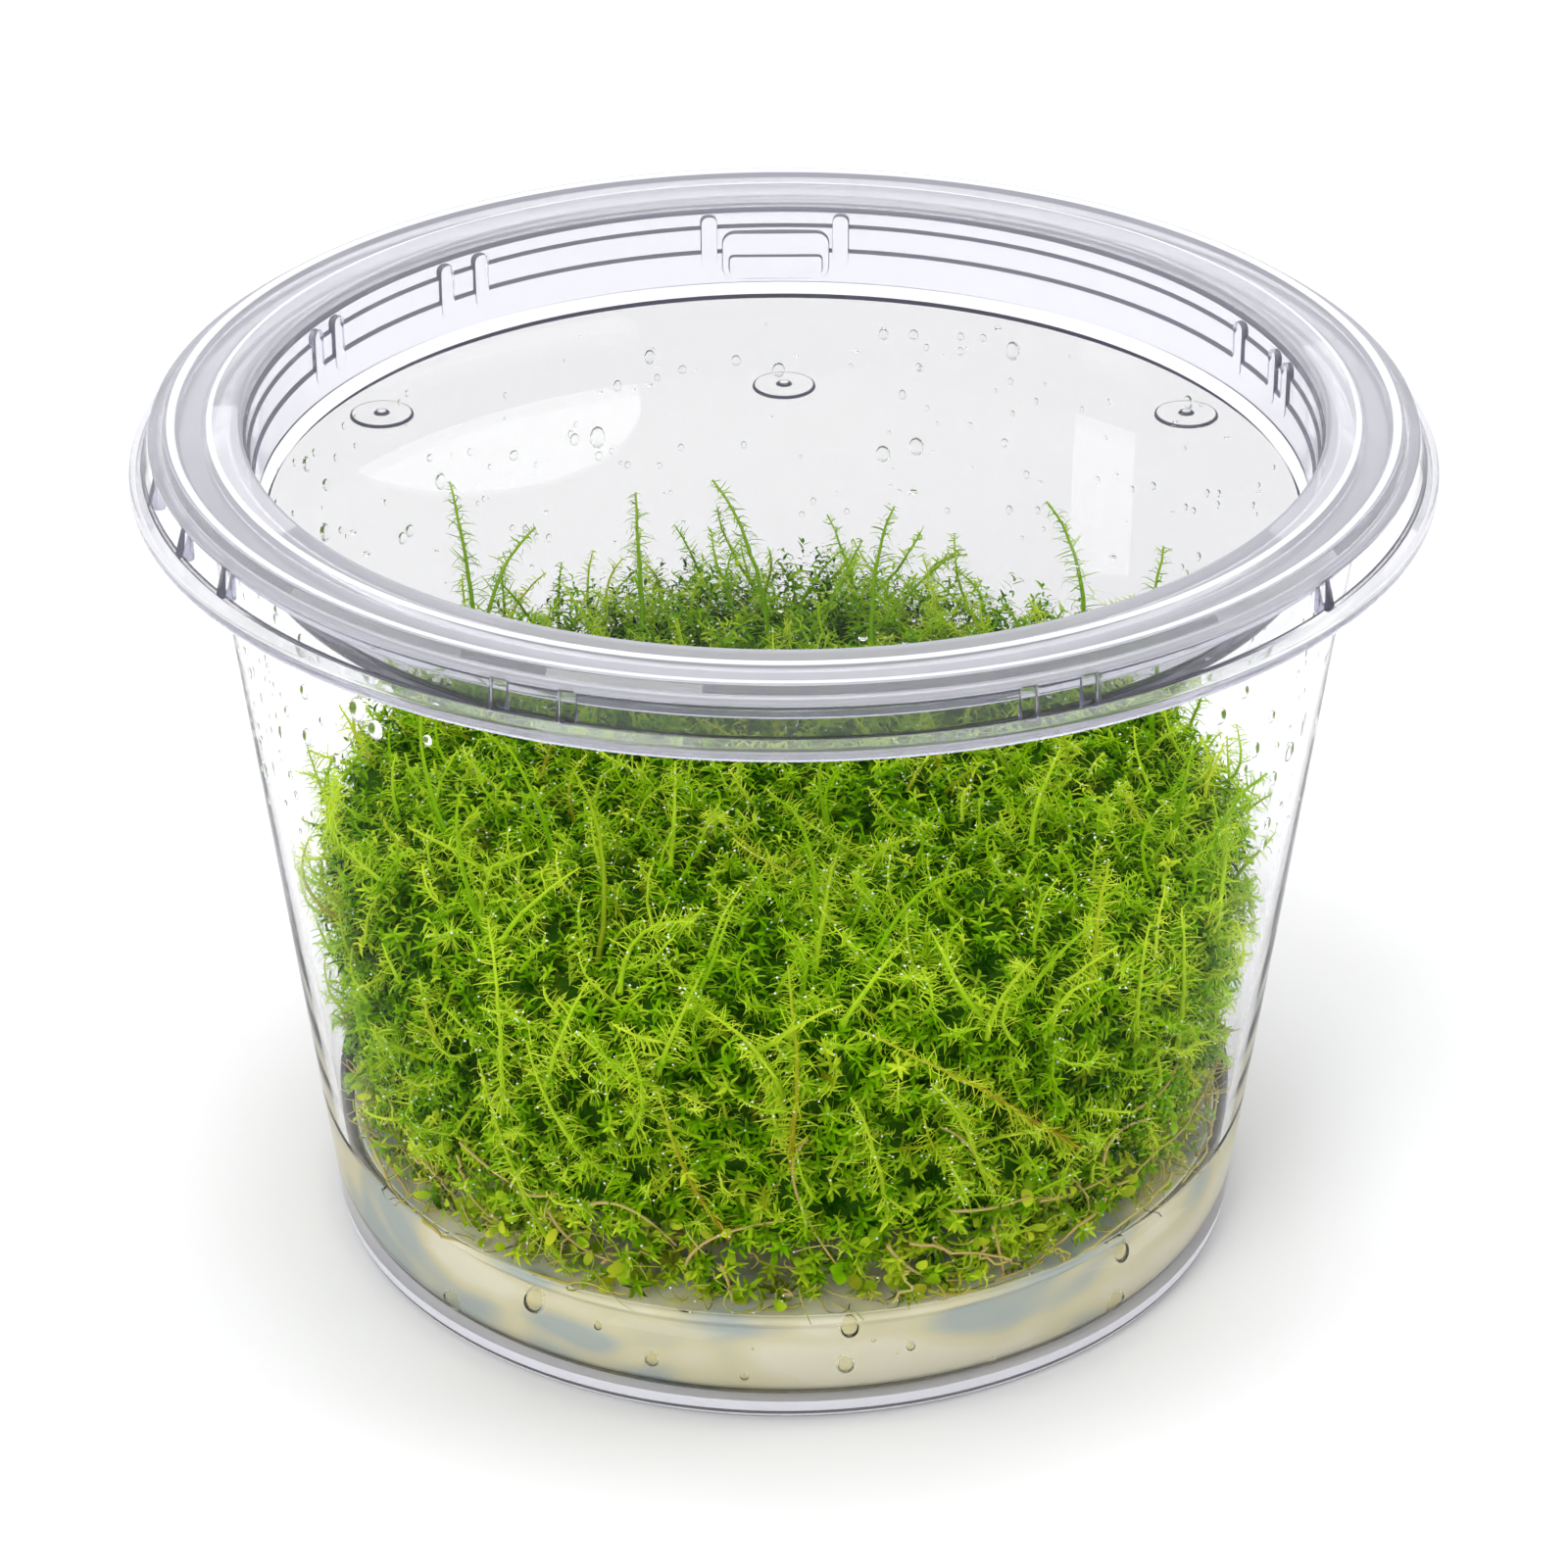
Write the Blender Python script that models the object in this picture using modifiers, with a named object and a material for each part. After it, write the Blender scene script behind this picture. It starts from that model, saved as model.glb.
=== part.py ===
"""Tissue culture moss in its cup: a clear stepped cup, a push-on lid, a slab of agar gel
and a clump of creeping feather moss with its taller shoots. Metres, +Z up. The origin is
at the middle of the cup's foot, and the front of the cup looks along -Y."""

import math
import random

import bmesh
import bpy
from mathutils import Vector, noise
from mathutils.bvhtree import BVHTree

MM = 0.001

# Driving dimensions of the set, in metres
LID_RADIUS = 50.0 * MM
TOTAL_HEIGHT = 69.2 * MM
CLEARANCE = 0.3 * MM
TURN_STEPS = 64

# The cup's wall is a straight taper from the corner of the foot to the rim
FOOT_RADIUS = 35.9 * MM
FOOT_RING_WIDTH = 2.0 * MM
FOOT_RECESS = 0.5 * MM
CORNER_RADIUS = 36.85 * MM
CORNER_HEIGHT = 3.1 * MM
WALL_SLOPE = 0.123
WALL = 0.9 * MM
FLOOR_TOP = 1.5 * MM
RIM_UNDER = 66.3 * MM
RIM_TOP = 67.5 * MM
RIM_RADIUS = 47.0 * MM

# The lid, from its lip up over the two beads and down into the stacking recess
LIP_BOTTOM = 64.6 * MM
LIP_HEIGHT = 1.0 * MM
SKIRT_FOOT_RADIUS = 49.0 * MM
SKIRT_FOOT_HEIGHT = 66.0 * MM
SHOULDER_RADIUS = 48.45 * MM
SHOULDER_HEIGHT = 68.1 * MM
OUTER_BEAD_RADIUS = 47.5 * MM
INNER_BEAD_RADIUS = 44.9 * MM
BEAD_WIDTH = 0.45 * MM
CHANNEL_DEPTH = 0.4 * MM
LID_WALL = 0.8 * MM
RECESS_MOUTH_RADIUS = 42.5 * MM
RECESS_MOUTH_HEIGHT = 67.2 * MM
RECESS_STEP_RADIUS = 41.7 * MM
RECESS_STEP_HEIGHT = 64.2 * MM
PANEL_RADIUS = 40.3 * MM
PANEL_TOP = 60.8 * MM
PANEL_FILLET = 0.7 * MM

# Catch ribs inside the skirt and stacking ribs on the recess wall, as degrees from +X
CATCH_RIB = Vector((1.1 * MM, 0.9 * MM, 2.3 * MM))
CATCH_RIB_ANGLES = (0, 17, 36, 193, 204, 213, 244.4, 251.1, 291.5, 297.6, 324)
STACK_RIB = Vector((1.3 * MM, 0.8 * MM, 3.6 * MM))
STACK_RIB_ANGLES = (14.3, 18.1, 26.5, 83.3, 98.9, 127.9, 132.9, 151.6, 156.0)
STACK_LUG = Vector((7.6 * MM, 0.9 * MM, 3.2 * MM))
STACK_LUG_ANGLE = 91.0

# Ejector marks on the lid's panel: places in the plane, and their size
MARK_PLACES = ((0.0 * MM, 20.8 * MM), (-32.1 * MM, 15.2 * MM), (32.1 * MM, 15.2 * MM))
MARK_RADIUS = 2.55 * MM
MARK_RISE = 0.12 * MM

# Agar gel and the moss clump that grows on it
GEL_TOP = 9.0 * MM
CLUMP_FOOT_RADIUS = 35.0 * MM
CLUMP_TOP_RADIUS = 38.0 * MM
CLUMP_TOP = 38.2 * MM
CLUMP_EDGE_POWER = 5.0
LUMP_HEIGHT = 1.3 * MM
LUMP_SIZE = 9.0 * MM
TUFT_HEIGHT = 1.7 * MM
TUFT_SHARE = 0.28

# Taller shoots: foot in the plane, tip in space and how far the middle bows up, in mm
SHOOT_ROUTES = {
    "shoot_back_left": ((-24.5, 15.0), (-27.5, 23.7, 50.7), 1.0),
    "shoot_back_left_arch": ((-25.5, 11.5), (-20.3, 19.0, 48.8), 2.5),
    "shoot_back_mid_left": ((-11.5, 17.0), (-12.2, 22.5, 50.3), 0.5),
    "shoot_back_middle": ((-1.0, 17.0), (-5.9, 25.5, 50.0), 1.5),
    "shoot_back_mid_right": ((7.5, 16.0), (9.1, 23.2, 48.7), 1.0),
    "shoot_back_right": ((24.6, 16.0), (21.6, 23.3, 49.1), 1.5),
    "shoot_right_edge": ((30.0, 8.0), (30.8, 16.0, 48.6), 1.0),
    "shoot_left_front": ((-14.0, -25.0), (-16.0, -16.5, 46.0), 1.0),
    "shoot_left_tall": ((-21.5, -24.0), (-24.4, -19.5, 45.5), 1.0),
    "shoot_left_lean": ((-17.5, -15.0), (-21.8, -10.0, 45.0), 1.0),
    "shoot_far_left_front": ((-25.0, -12.0), (-28.0, -5.0, 45.5), 1.0),
    "shoot_middle_front": ((5.5, -15.0), (3.0, -14.0, 45.8), 1.0),
    "shoot_middle_arch": ((2.5, -27.0), (-1.1, -18.0, 44.5), 2.5),
    "shoot_middle_long": ((-7.5, -32.5), (-3.7, -32.1, 43.0), 0.5),
    "shoot_middle_low": ((0.6, -32.5), (0.0, -35.7, 43.0), 0.5),
    "shoot_right_front": ((5.0, -32.0), (14.1, -26.4, 43.0), 1.5),
    "shoot_right_arch": ((15.8, -31.5), (22.5, -30.2, 40.2), 1.5),
    "shoot_far_right_front": ((30.0, -9.6), (31.3, -11.0, 45.0), 1.0),
    "shoot_far_right_edge": ((32.5, -12.5), (36.7, -14.0, 44.2), 0.5),
}
SHOOT_FOOT_RADIUS = 0.95 * MM
SHOOT_TIP_RADIUS = 0.35 * MM
SHOOT_POINTS = 6
SHOOT_CLEARANCE = 1.2 * MM


def clear_scene():
    for obj in list(bpy.data.objects):
        bpy.data.objects.remove(obj, do_unlink=True)


def make_collections():
    parts = bpy.data.collections.new("tissue_culture_moss")
    cutters = bpy.data.collections.new("joined_shapes")
    for collection in (parts, cutters):
        bpy.context.scene.collection.children.link(collection)
    return parts, cutters


def plain_material(name, color, roughness, alpha=1.0):
    material = bpy.data.materials.new(name)
    material.use_nodes = True
    shader = material.node_tree.nodes["Principled BSDF"]
    shader.inputs["Base Color"].default_value = (*color, 1.0)
    shader.inputs["Roughness"].default_value = roughness
    shader.inputs["Metallic"].default_value = 0.0
    shader.inputs["Alpha"].default_value = alpha
    return material


def add_object(name, mesh, collection, material=None):
    obj = bpy.data.objects.new(name, mesh)
    collection.objects.link(obj)
    if material:
        mesh.materials.append(material)
    return obj


def wall_outside(height):
    """Outer radius of the cup's straight wall at a height."""
    return CORNER_RADIUS + WALL_SLOPE * (height - CORNER_HEIGHT)


def wall_inside(height):
    return wall_outside(height) - WALL


def arc(center, radius, start, end, steps):
    """Points of an arc in the (radius, height) plane, angles in degrees from outward."""
    points = []
    for step in range(steps + 1):
        angle = math.radians(start + (end - start) * step / steps)
        points.append((center[0] + radius * math.cos(angle), center[1] + radius * math.sin(angle)))
    return points


def turn(name, profile, collection, material, steps=TURN_STEPS):
    """Turn a closed outline of (radius, height) points about Z. The outline runs down the
    outer side first, so that the faces look outward."""
    mesh = bpy.data.meshes.new(name)
    on_axis = profile[0][0] == 0.0
    count = len(profile)
    edges = [(i, i + 1) for i in range(count - 1)]
    if not on_axis:
        edges.append((count - 1, 0))
    mesh.from_pydata([(r, 0.0, z) for r, z in profile], edges, [])
    obj = add_object(name, mesh, collection, material)
    screw = obj.modifiers.new("turned", "SCREW")
    screw.steps = steps
    screw.render_steps = steps
    screw.use_merge_vertices = True
    screw.merge_threshold = 0.000001
    return obj


def cup_profile():
    """From the rim down the outside, over the foot ring, and up the inside."""
    rim_round = (RIM_TOP - RIM_UNDER) / 2
    rim_middle = (RIM_RADIUS - rim_round, RIM_UNDER + rim_round)
    outside = arc(rim_middle, rim_round, 90, -90, 3)
    outside.append((wall_outside(RIM_UNDER), RIM_UNDER))
    corner = []
    for step in range(4):
        angle = math.radians(30 * step)
        corner.append((
            FOOT_RADIUS + (CORNER_RADIUS - FOOT_RADIUS) * math.cos(angle),
            CORNER_HEIGHT * (1 - math.sin(angle)),
        ))
    foot_inside = FOOT_RADIUS - FOOT_RING_WIDTH
    underside = [(foot_inside, 0.0), (foot_inside - FOOT_RECESS, FOOT_RECESS), (0.0, FOOT_RECESS)]
    floor_edge = wall_inside(CORNER_HEIGHT)
    inside = [
        (0.0, FLOOR_TOP),
        (floor_edge - WALL, FLOOR_TOP),
        (floor_edge, FLOOR_TOP + WALL),
        (wall_inside(RIM_TOP), RIM_TOP),
    ]
    return outside + corner + underside + inside


def lid_profile():
    """From the outer bead down the skirt to the lip, back up its inside, under the ring,
    and down the outside of the recess wall; then the panel and the way back up."""
    bead_top = TOTAL_HEIGHT
    channel = bead_top - CHANNEL_DEPTH
    half_bead = BEAD_WIDTH / 2
    slope = BEAD_WIDTH
    top_side = [
        (OUTER_BEAD_RADIUS + half_bead, bead_top),
        (OUTER_BEAD_RADIUS + 2 * half_bead, bead_top - half_bead),
        (SHOULDER_RADIUS - half_bead, SHOULDER_HEIGHT + half_bead),
        (SHOULDER_RADIUS, SHOULDER_HEIGHT),
        (SKIRT_FOOT_RADIUS, SKIRT_FOOT_HEIGHT),
        (LID_RADIUS - half_bead / 2, LIP_BOTTOM + LIP_HEIGHT),
        (LID_RADIUS, LIP_BOTTOM + LIP_HEIGHT / 2),
        (LID_RADIUS - half_bead, LIP_BOTTOM),
    ]
    skirt_inside = [
        (LID_RADIUS - LID_WALL, LIP_BOTTOM),
        (SKIRT_FOOT_RADIUS - LID_WALL, SKIRT_FOOT_HEIGHT - LID_WALL / 2),
        (SHOULDER_RADIUS - LID_WALL, RIM_TOP),
        (SHOULDER_RADIUS - 2 * LID_WALL, RIM_TOP + CLEARANCE),
    ]
    recess_outside = [
        (RECESS_MOUTH_RADIUS + LID_WALL, RIM_TOP + CLEARANCE),
        (RECESS_MOUTH_RADIUS + LID_WALL / 2, RECESS_MOUTH_HEIGHT - LID_WALL),
        (RECESS_STEP_RADIUS + LID_WALL, RECESS_STEP_HEIGHT),
        (PANEL_RADIUS + PANEL_FILLET + LID_WALL, PANEL_TOP),
        (PANEL_RADIUS, PANEL_TOP - LID_WALL),
        (0.0, PANEL_TOP - LID_WALL),
    ]
    recess_inside = [
        (0.0, PANEL_TOP),
        (PANEL_RADIUS, PANEL_TOP),
        (PANEL_RADIUS + PANEL_FILLET, PANEL_TOP + PANEL_FILLET),
        (RECESS_STEP_RADIUS, RECESS_STEP_HEIGHT),
        (RECESS_MOUTH_RADIUS - LID_WALL / 2, RECESS_MOUTH_HEIGHT - LID_WALL),
        (RECESS_MOUTH_RADIUS, RECESS_MOUTH_HEIGHT),
    ]
    ring_top = [
        (INNER_BEAD_RADIUS - half_bead - slope, bead_top - slope),
        (INNER_BEAD_RADIUS - half_bead, bead_top),
        (INNER_BEAD_RADIUS + half_bead, bead_top),
        (INNER_BEAD_RADIUS + half_bead + slope, channel),
        (OUTER_BEAD_RADIUS - half_bead - slope, channel),
        (OUTER_BEAD_RADIUS - half_bead, bead_top),
    ]
    return top_side + skirt_inside + recess_outside + recess_inside + ring_top


def rib_mesh(name, size):
    """An upright block with its two bottom corners rounded off, centred on its origin."""
    bm = bmesh.new()
    bmesh.ops.create_cube(bm, size=1.0)
    bmesh.ops.scale(bm, vec=size, verts=bm.verts)
    bottom_edges = []
    for edge in bm.edges:
        low = all(vert.co.z < 0 for vert in edge.verts)
        along_depth = abs(edge.verts[0].co.y - edge.verts[1].co.y) > size.y / 2
        if low and along_depth:
            bottom_edges.append(edge)
    bmesh.ops.bevel(bm, geom=bottom_edges, offset=min(size.x, size.z) * 0.35, segments=1, affect="EDGES")
    mesh = bpy.data.meshes.new(name)
    bm.to_mesh(mesh)
    bm.free()
    return mesh


def place_round(obj, angle, radius, height):
    """Stand a rib on a circle, with its depth along the radius."""
    turn_angle = math.radians(angle)
    obj.location = (radius * math.cos(turn_angle), radius * math.sin(turn_angle), height)
    obj.rotation_euler = (0.0, 0.0, turn_angle - math.pi / 2)


def lid_ribs(cutters):
    """The catch ribs, the stacking ribs and the wide lug, as shapes to join to the lid."""
    shapes = []
    catch_radius = SKIRT_FOOT_RADIUS - LID_WALL
    catch_height = SKIRT_FOOT_HEIGHT - CLEARANCE
    for angle in CATCH_RIB_ANGLES:
        rib = add_object("catch_rib", rib_mesh("catch_rib", CATCH_RIB), cutters)
        place_round(rib, angle, catch_radius - CATCH_RIB.y / 4, catch_height)
        shapes.append(rib)
    for angle in STACK_RIB_ANGLES:
        rib = add_object("stack_rib", rib_mesh("stack_rib", STACK_RIB), cutters)
        place_round(rib, angle, RECESS_STEP_RADIUS, RECESS_STEP_HEIGHT)
        shapes.append(rib)
    lug = add_object("stack_lug", rib_mesh("stack_lug", STACK_LUG), cutters)
    place_round(lug, STACK_LUG_ANGLE, PANEL_RADIUS + PANEL_FILLET, PANEL_TOP + STACK_LUG.z / 2)
    shapes.append(lug)
    return shapes


def lid_marks(cutters):
    shapes = []
    for x, y in MARK_PLACES:
        bm = bmesh.new()
        bmesh.ops.create_cone(
            bm, cap_ends=True, segments=20, radius1=MARK_RADIUS, radius2=MARK_RADIUS, depth=2 * MARK_RISE
        )
        mesh = bpy.data.meshes.new("ejector_mark")
        bm.to_mesh(mesh)
        bm.free()
        mark = add_object("ejector_mark", mesh, cutters)
        mark.location = (x, y, PANEL_TOP)
        shapes.append(mark)
    return shapes


def join_shapes(obj, shapes):
    for shape in shapes:
        shape.hide_render = True
        shape.display_type = "WIRE"
        union = obj.modifiers.new(shape.name, "BOOLEAN")
        union.operation = "UNION"
        union.solver = "EXACT"
        union.object = shape


def make_cup(parts):
    clear = plain_material("clear_cup_plastic", (0.86, 0.88, 0.92), 0.06, 0.25)
    return turn("cup", cup_profile(), parts, clear)


def make_lid(parts, cutters):
    clear = plain_material("clear_lid_plastic", (0.84, 0.86, 0.92), 0.06, 0.25)
    lid = turn("lid", lid_profile(), parts, clear)
    join_shapes(lid, lid_ribs(cutters) + lid_marks(cutters))
    return lid


def make_gel(parts):
    """The agar slab, a clearance away from the floor and the wall of the cup."""
    agar = plain_material("agar", (0.72, 0.68, 0.48), 0.15, 0.6)
    bottom = FLOOR_TOP + CLEARANCE
    profile = [
        (0.0, GEL_TOP),
        (wall_inside(GEL_TOP) - CLEARANCE, GEL_TOP),
        (wall_inside(CORNER_HEIGHT) - CLEARANCE, CORNER_HEIGHT + CLEARANCE),
        (wall_inside(CORNER_HEIGHT) - WALL - CLEARANCE, bottom),
        (0.0, bottom),
    ]
    return turn("agar_gel", profile, parts, agar, steps=48)


def clump_point(direction):
    """Map a direction from the clump's middle to its lumpy surface: a drum with rounded
    edges that widens upward as the cup does, flat where it sits on the gel."""
    foot = GEL_TOP + CLEARANCE
    middle = (CLUMP_TOP + foot) / 2
    half_height = (CLUMP_TOP - foot) / 2
    rise = direction.z
    height = middle + half_height * rise
    share = (height - foot) / (CLUMP_TOP - foot)
    drum_radius = CLUMP_FOOT_RADIUS + (CLUMP_TOP_RADIUS - CLUMP_FOOT_RADIUS) * share
    radius = drum_radius * math.sqrt(max(0.0, 1.0 - abs(rise) ** CLUMP_EDGE_POWER))
    flat = Vector((direction.x, direction.y, 0.0))
    if flat.length > 0:
        flat.normalize()
    point = flat * radius
    point.z = height
    lump = noise.noise(point / LUMP_SIZE) * LUMP_HEIGHT
    if rise > 0:
        point.z += lump * 2 * rise
    point -= flat * (LUMP_HEIGHT * 0.5 + lump) * min(1.0, radius / drum_radius) * 0.6
    point.z = max(point.z, foot)
    return point


def raise_tufts(bm):
    """Draw some faces above the gel out to points, as the tips of the short shoots are."""
    chance = random.Random(5)
    lowest = GEL_TOP + 3 * CLEARANCE + TUFT_HEIGHT
    tufts = []
    for face in bm.faces:
        drawn = chance.random() < TUFT_SHARE
        if drawn and face.calc_center_median().z > lowest:
            tufts.append(face)
    bmesh.ops.poke(bm, faces=tufts, offset=TUFT_HEIGHT)


def make_clump(parts):
    moss = plain_material("moss_green", (0.115, 0.30, 0.02), 0.5)
    bm = bmesh.new()
    bmesh.ops.create_icosphere(bm, subdivisions=4, radius=1.0)
    for vert in bm.verts:
        vert.co = clump_point(vert.co.normalized())
    bm.normal_update()
    raise_tufts(bm)
    surface = BVHTree.FromBMesh(bm)
    mesh = bpy.data.meshes.new("moss_clump")
    bm.to_mesh(mesh)
    bm.free()
    clump = add_object("moss_clump", mesh, parts, moss)
    return clump, surface


def shoot_points(foot, tip, bow):
    """Points along a shoot from its foot to its tip, bowed upward in the middle."""
    points = []
    for step in range(SHOOT_POINTS):
        share = step / (SHOOT_POINTS - 1)
        point = foot.lerp(tip, share)
        point.z += bow * 4 * share * (1 - share)
        points.append(point)
    return points


def make_shoot(name, route, surface, parts, material):
    """One taller shoot, standing just clear of the clump's surface."""
    (x, y), tip, bow = route
    above = Vector((x * MM, y * MM, TOTAL_HEIGHT))
    hit = surface.ray_cast(above, Vector((0, 0, -1)))[0]
    foot = hit + Vector((0, 0, SHOOT_CLEARANCE))
    points = shoot_points(foot, Vector(tip) * MM, bow * MM)
    curve = bpy.data.curves.new(name, "CURVE")
    curve.dimensions = "3D"
    curve.bevel_depth = SHOOT_FOOT_RADIUS
    curve.bevel_resolution = 1
    curve.use_fill_caps = True
    spline = curve.splines.new("POLY")
    spline.points.add(len(points) - 1)
    for index, point in enumerate(points):
        share = index / (len(points) - 1)
        taper = 1 + (SHOOT_TIP_RADIUS / SHOOT_FOOT_RADIUS - 1) * share
        spline.points[index].co = (*point, 1.0)
        spline.points[index].radius = taper
    curve.materials.append(material)
    shoot = bpy.data.objects.new(name, curve)
    parts.objects.link(shoot)
    return shoot


def make_moss(parts):
    clump, surface = make_clump(parts)
    stem_green = plain_material("shoot_green", (0.25, 0.42, 0.03), 0.5)
    for name, route in SHOOT_ROUTES.items():
        make_shoot(name, route, surface, parts, stem_green)
    return clump


clear_scene()
parts_collection, cutter_collection = make_collections()
make_cup(parts_collection)
make_lid(parts_collection, cutter_collection)
make_gel(parts_collection)
make_moss(parts_collection)
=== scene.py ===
"""Creeping feather moss grown in tissue culture: a clear tapered cup with a push-on
stacking lid, a slab of agar gel, and the moss clump with its taller shoots. Metres, +Z up,
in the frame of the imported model. The front of the cup looks along -Y."""

import math

import bmesh
import bpy
import numpy as np
from mathutils import Matrix, Vector, noise
from mathutils.bvhtree import BVHTree
from mathutils.kdtree import KDTree


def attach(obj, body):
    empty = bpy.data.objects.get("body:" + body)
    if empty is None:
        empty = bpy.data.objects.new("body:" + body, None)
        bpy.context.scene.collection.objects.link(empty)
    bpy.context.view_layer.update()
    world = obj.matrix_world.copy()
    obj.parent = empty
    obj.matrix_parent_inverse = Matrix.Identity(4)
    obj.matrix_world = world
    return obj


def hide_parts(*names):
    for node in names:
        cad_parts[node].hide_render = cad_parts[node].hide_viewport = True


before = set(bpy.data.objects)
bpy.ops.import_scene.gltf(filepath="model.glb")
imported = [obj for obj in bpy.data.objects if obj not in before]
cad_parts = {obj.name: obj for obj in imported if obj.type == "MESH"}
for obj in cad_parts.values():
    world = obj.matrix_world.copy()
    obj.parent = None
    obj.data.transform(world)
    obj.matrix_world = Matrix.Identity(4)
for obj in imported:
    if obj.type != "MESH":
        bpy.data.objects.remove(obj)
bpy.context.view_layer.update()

MM = 0.001

# The camera. It stands where the photograph was taken from and looks down at the cup. Stems
# and bubbles that the photograph shows are placed by the pixel they show at, on what
# carries them.
CAMERA_DISTANCE = 0.400
CAMERA_ELEVATION = math.radians(28.82)
AIM_HEIGHT = 35.56 * MM
SENSOR = 36.0
PHOTO_SIDE = 1600
FOCAL_PIXELS = 5128


def new_object(name, data):
    made = bpy.data.objects.new(name, data)
    bpy.context.scene.collection.objects.link(made)
    return made


camera = bpy.data.cameras.new("camera")
camera.sensor_width = SENSOR
camera.lens = FOCAL_PIXELS / PHOTO_SIDE * SENSOR
camera.clip_start = 0.01
viewer = new_object("camera", camera)
viewer.location = (
    0.0,
    -CAMERA_DISTANCE * math.cos(CAMERA_ELEVATION),
    AIM_HEIGHT + CAMERA_DISTANCE * math.sin(CAMERA_ELEVATION),
)
viewer.rotation_euler = (math.pi / 2 - CAMERA_ELEVATION, 0.0, 0.0)
bpy.context.scene.camera = viewer


def photo_ray(pixel):
    """Unit direction from the camera through a pixel of the photograph."""
    across = (pixel[0] - PHOTO_SIDE / 2) / FOCAL_PIXELS
    down = (pixel[1] - PHOTO_SIDE / 2) / FOCAL_PIXELS
    return (viewer.rotation_euler.to_matrix() @ Vector((across, -down, -1.0))).normalized()


# The cup. An injection-moulded tub of clear plastic: a straight tapered wall 0.9 mm thick, a
# rounded foot that stands on a narrow ring, and a flange at the rim that the lid pushes
# over. Both faces are smooth as glass.
FOOT_RADIUS = 35.9 * MM
FOOT_RING_WIDTH = 2.0 * MM
FOOT_RECESS = 0.5 * MM
CORNER_RADIUS = 36.85 * MM
CORNER_HEIGHT = 3.1 * MM
WALL_SLOPE = 0.123
WALL = 0.9 * MM
FLOOR_TOP = 1.5 * MM
RIM_UNDER = 66.3 * MM
RIM_TOP = 67.5 * MM
RIM_RADIUS = 47.0 * MM
TURN_STEPS = 208
ARC_STEP = math.radians(18)
FILLET_SHARE = 0.45
SUPPORT = 0.15 * MM
SUPPORT_SHARE = 0.04
POLISHED = 0.01
PLASTIC_DENSITY = 30.0


def linear(hex_color):
    """An sRGB hex colour as linear red, green and blue, with full alpha."""
    channels = [int(hex_color[i:i + 2], 16) / 255 for i in (1, 3, 5)]
    return (*(c / 12.92 if c <= 0.04045 else ((c + 0.055) / 1.055) ** 2.4 for c in channels), 1)


def add_node(tree, kind, inputs=None, **settings):
    """Add a shader node with its settings; an input is a value or another node's output."""
    node = tree.nodes.new("ShaderNode" + kind)
    for name, value in settings.items():
        setattr(node, name, value)
    for socket, value in (inputs or {}).items():
        if isinstance(value, bpy.types.NodeSocket):
            tree.links.new(value, node.inputs[socket])
        else:
            node.inputs[socket].default_value = value
    return node


def empty_material(name):
    material = bpy.data.materials.new(name)
    material.use_nodes = True
    material.node_tree.nodes.clear()
    output = add_node(material.node_tree, "OutputMaterial")
    return material, material.node_tree, output


def let_light_through(tree, shell, shadow_tint):
    """The shader of a clear piece: lamps and light scattered by what is inside pass straight
    through it, so the moss behind the plastic stays bright."""
    rays = add_node(tree, "LightPath")
    passing = add_node(tree, "Math", {0: rays.outputs["Is Shadow Ray"], 1: rays.outputs["Is Diffuse Ray"]},
                       operation="MAXIMUM")
    straight = add_node(tree, "BsdfTransparent", {"Color": linear(shadow_tint)})
    return add_node(tree, "MixShader", {
        "Fac": passing.outputs["Value"],
        1: shell,
        2: straight.outputs["BSDF"],
    })


def wall_outside(height):
    return CORNER_RADIUS + WALL_SLOPE * (height - CORNER_HEIGHT)


def wall_inside(height):
    return wall_outside(height) - WALL


def rounded_outline(corners):
    """Points of an outline in the (radius, height) plane whose corners are (radius, height,
    fillet). Each fillet is an arc with a support point on either side of it, so that the
    flats beside it shade flat."""
    points = []
    count = len(corners)
    for index, (radius, height, fillet) in enumerate(corners):
        corner = Vector((radius, height))
        if fillet == 0:
            points.append(corner)
            continue
        back = Vector(corners[index - 1][:2]) - corner
        ahead = Vector(corners[(index + 1) % count][:2]) - corner
        half = back.angle(ahead) / 2
        reach = min(fillet / math.tan(half), FILLET_SHARE * back.length, FILLET_SHARE * ahead.length)
        bend = reach * math.tan(half)
        toward = (back.normalized() + ahead.normalized()).normalized()
        center = corner + toward * (bend / math.sin(half))
        start = corner + back.normalized() * reach
        end = corner + ahead.normalized() * reach
        steps = max(2, math.ceil((math.pi - 2 * half) / ARC_STEP))
        points.append(start + back.normalized() * min(SUPPORT, SUPPORT_SHARE * back.length))
        for step in range(steps + 1):
            share = step / steps
            spoke = (start - center).lerp(end - center, share).normalized()
            points.append(center + spoke * bend)
        points.append(end + ahead.normalized() * min(SUPPORT, SUPPORT_SHARE * ahead.length))
    return points


def apply_modifiers(piece):
    """Give a piece the mesh that its modifiers make, and drop the modifiers."""
    evaluated = piece.evaluated_get(bpy.context.evaluated_depsgraph_get())
    mesh = bpy.data.meshes.new_from_object(evaluated)
    piece.modifiers.clear()
    old_mesh = piece.data
    piece.data = mesh
    bpy.data.meshes.remove(old_mesh)
    mesh.name = piece.name


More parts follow.
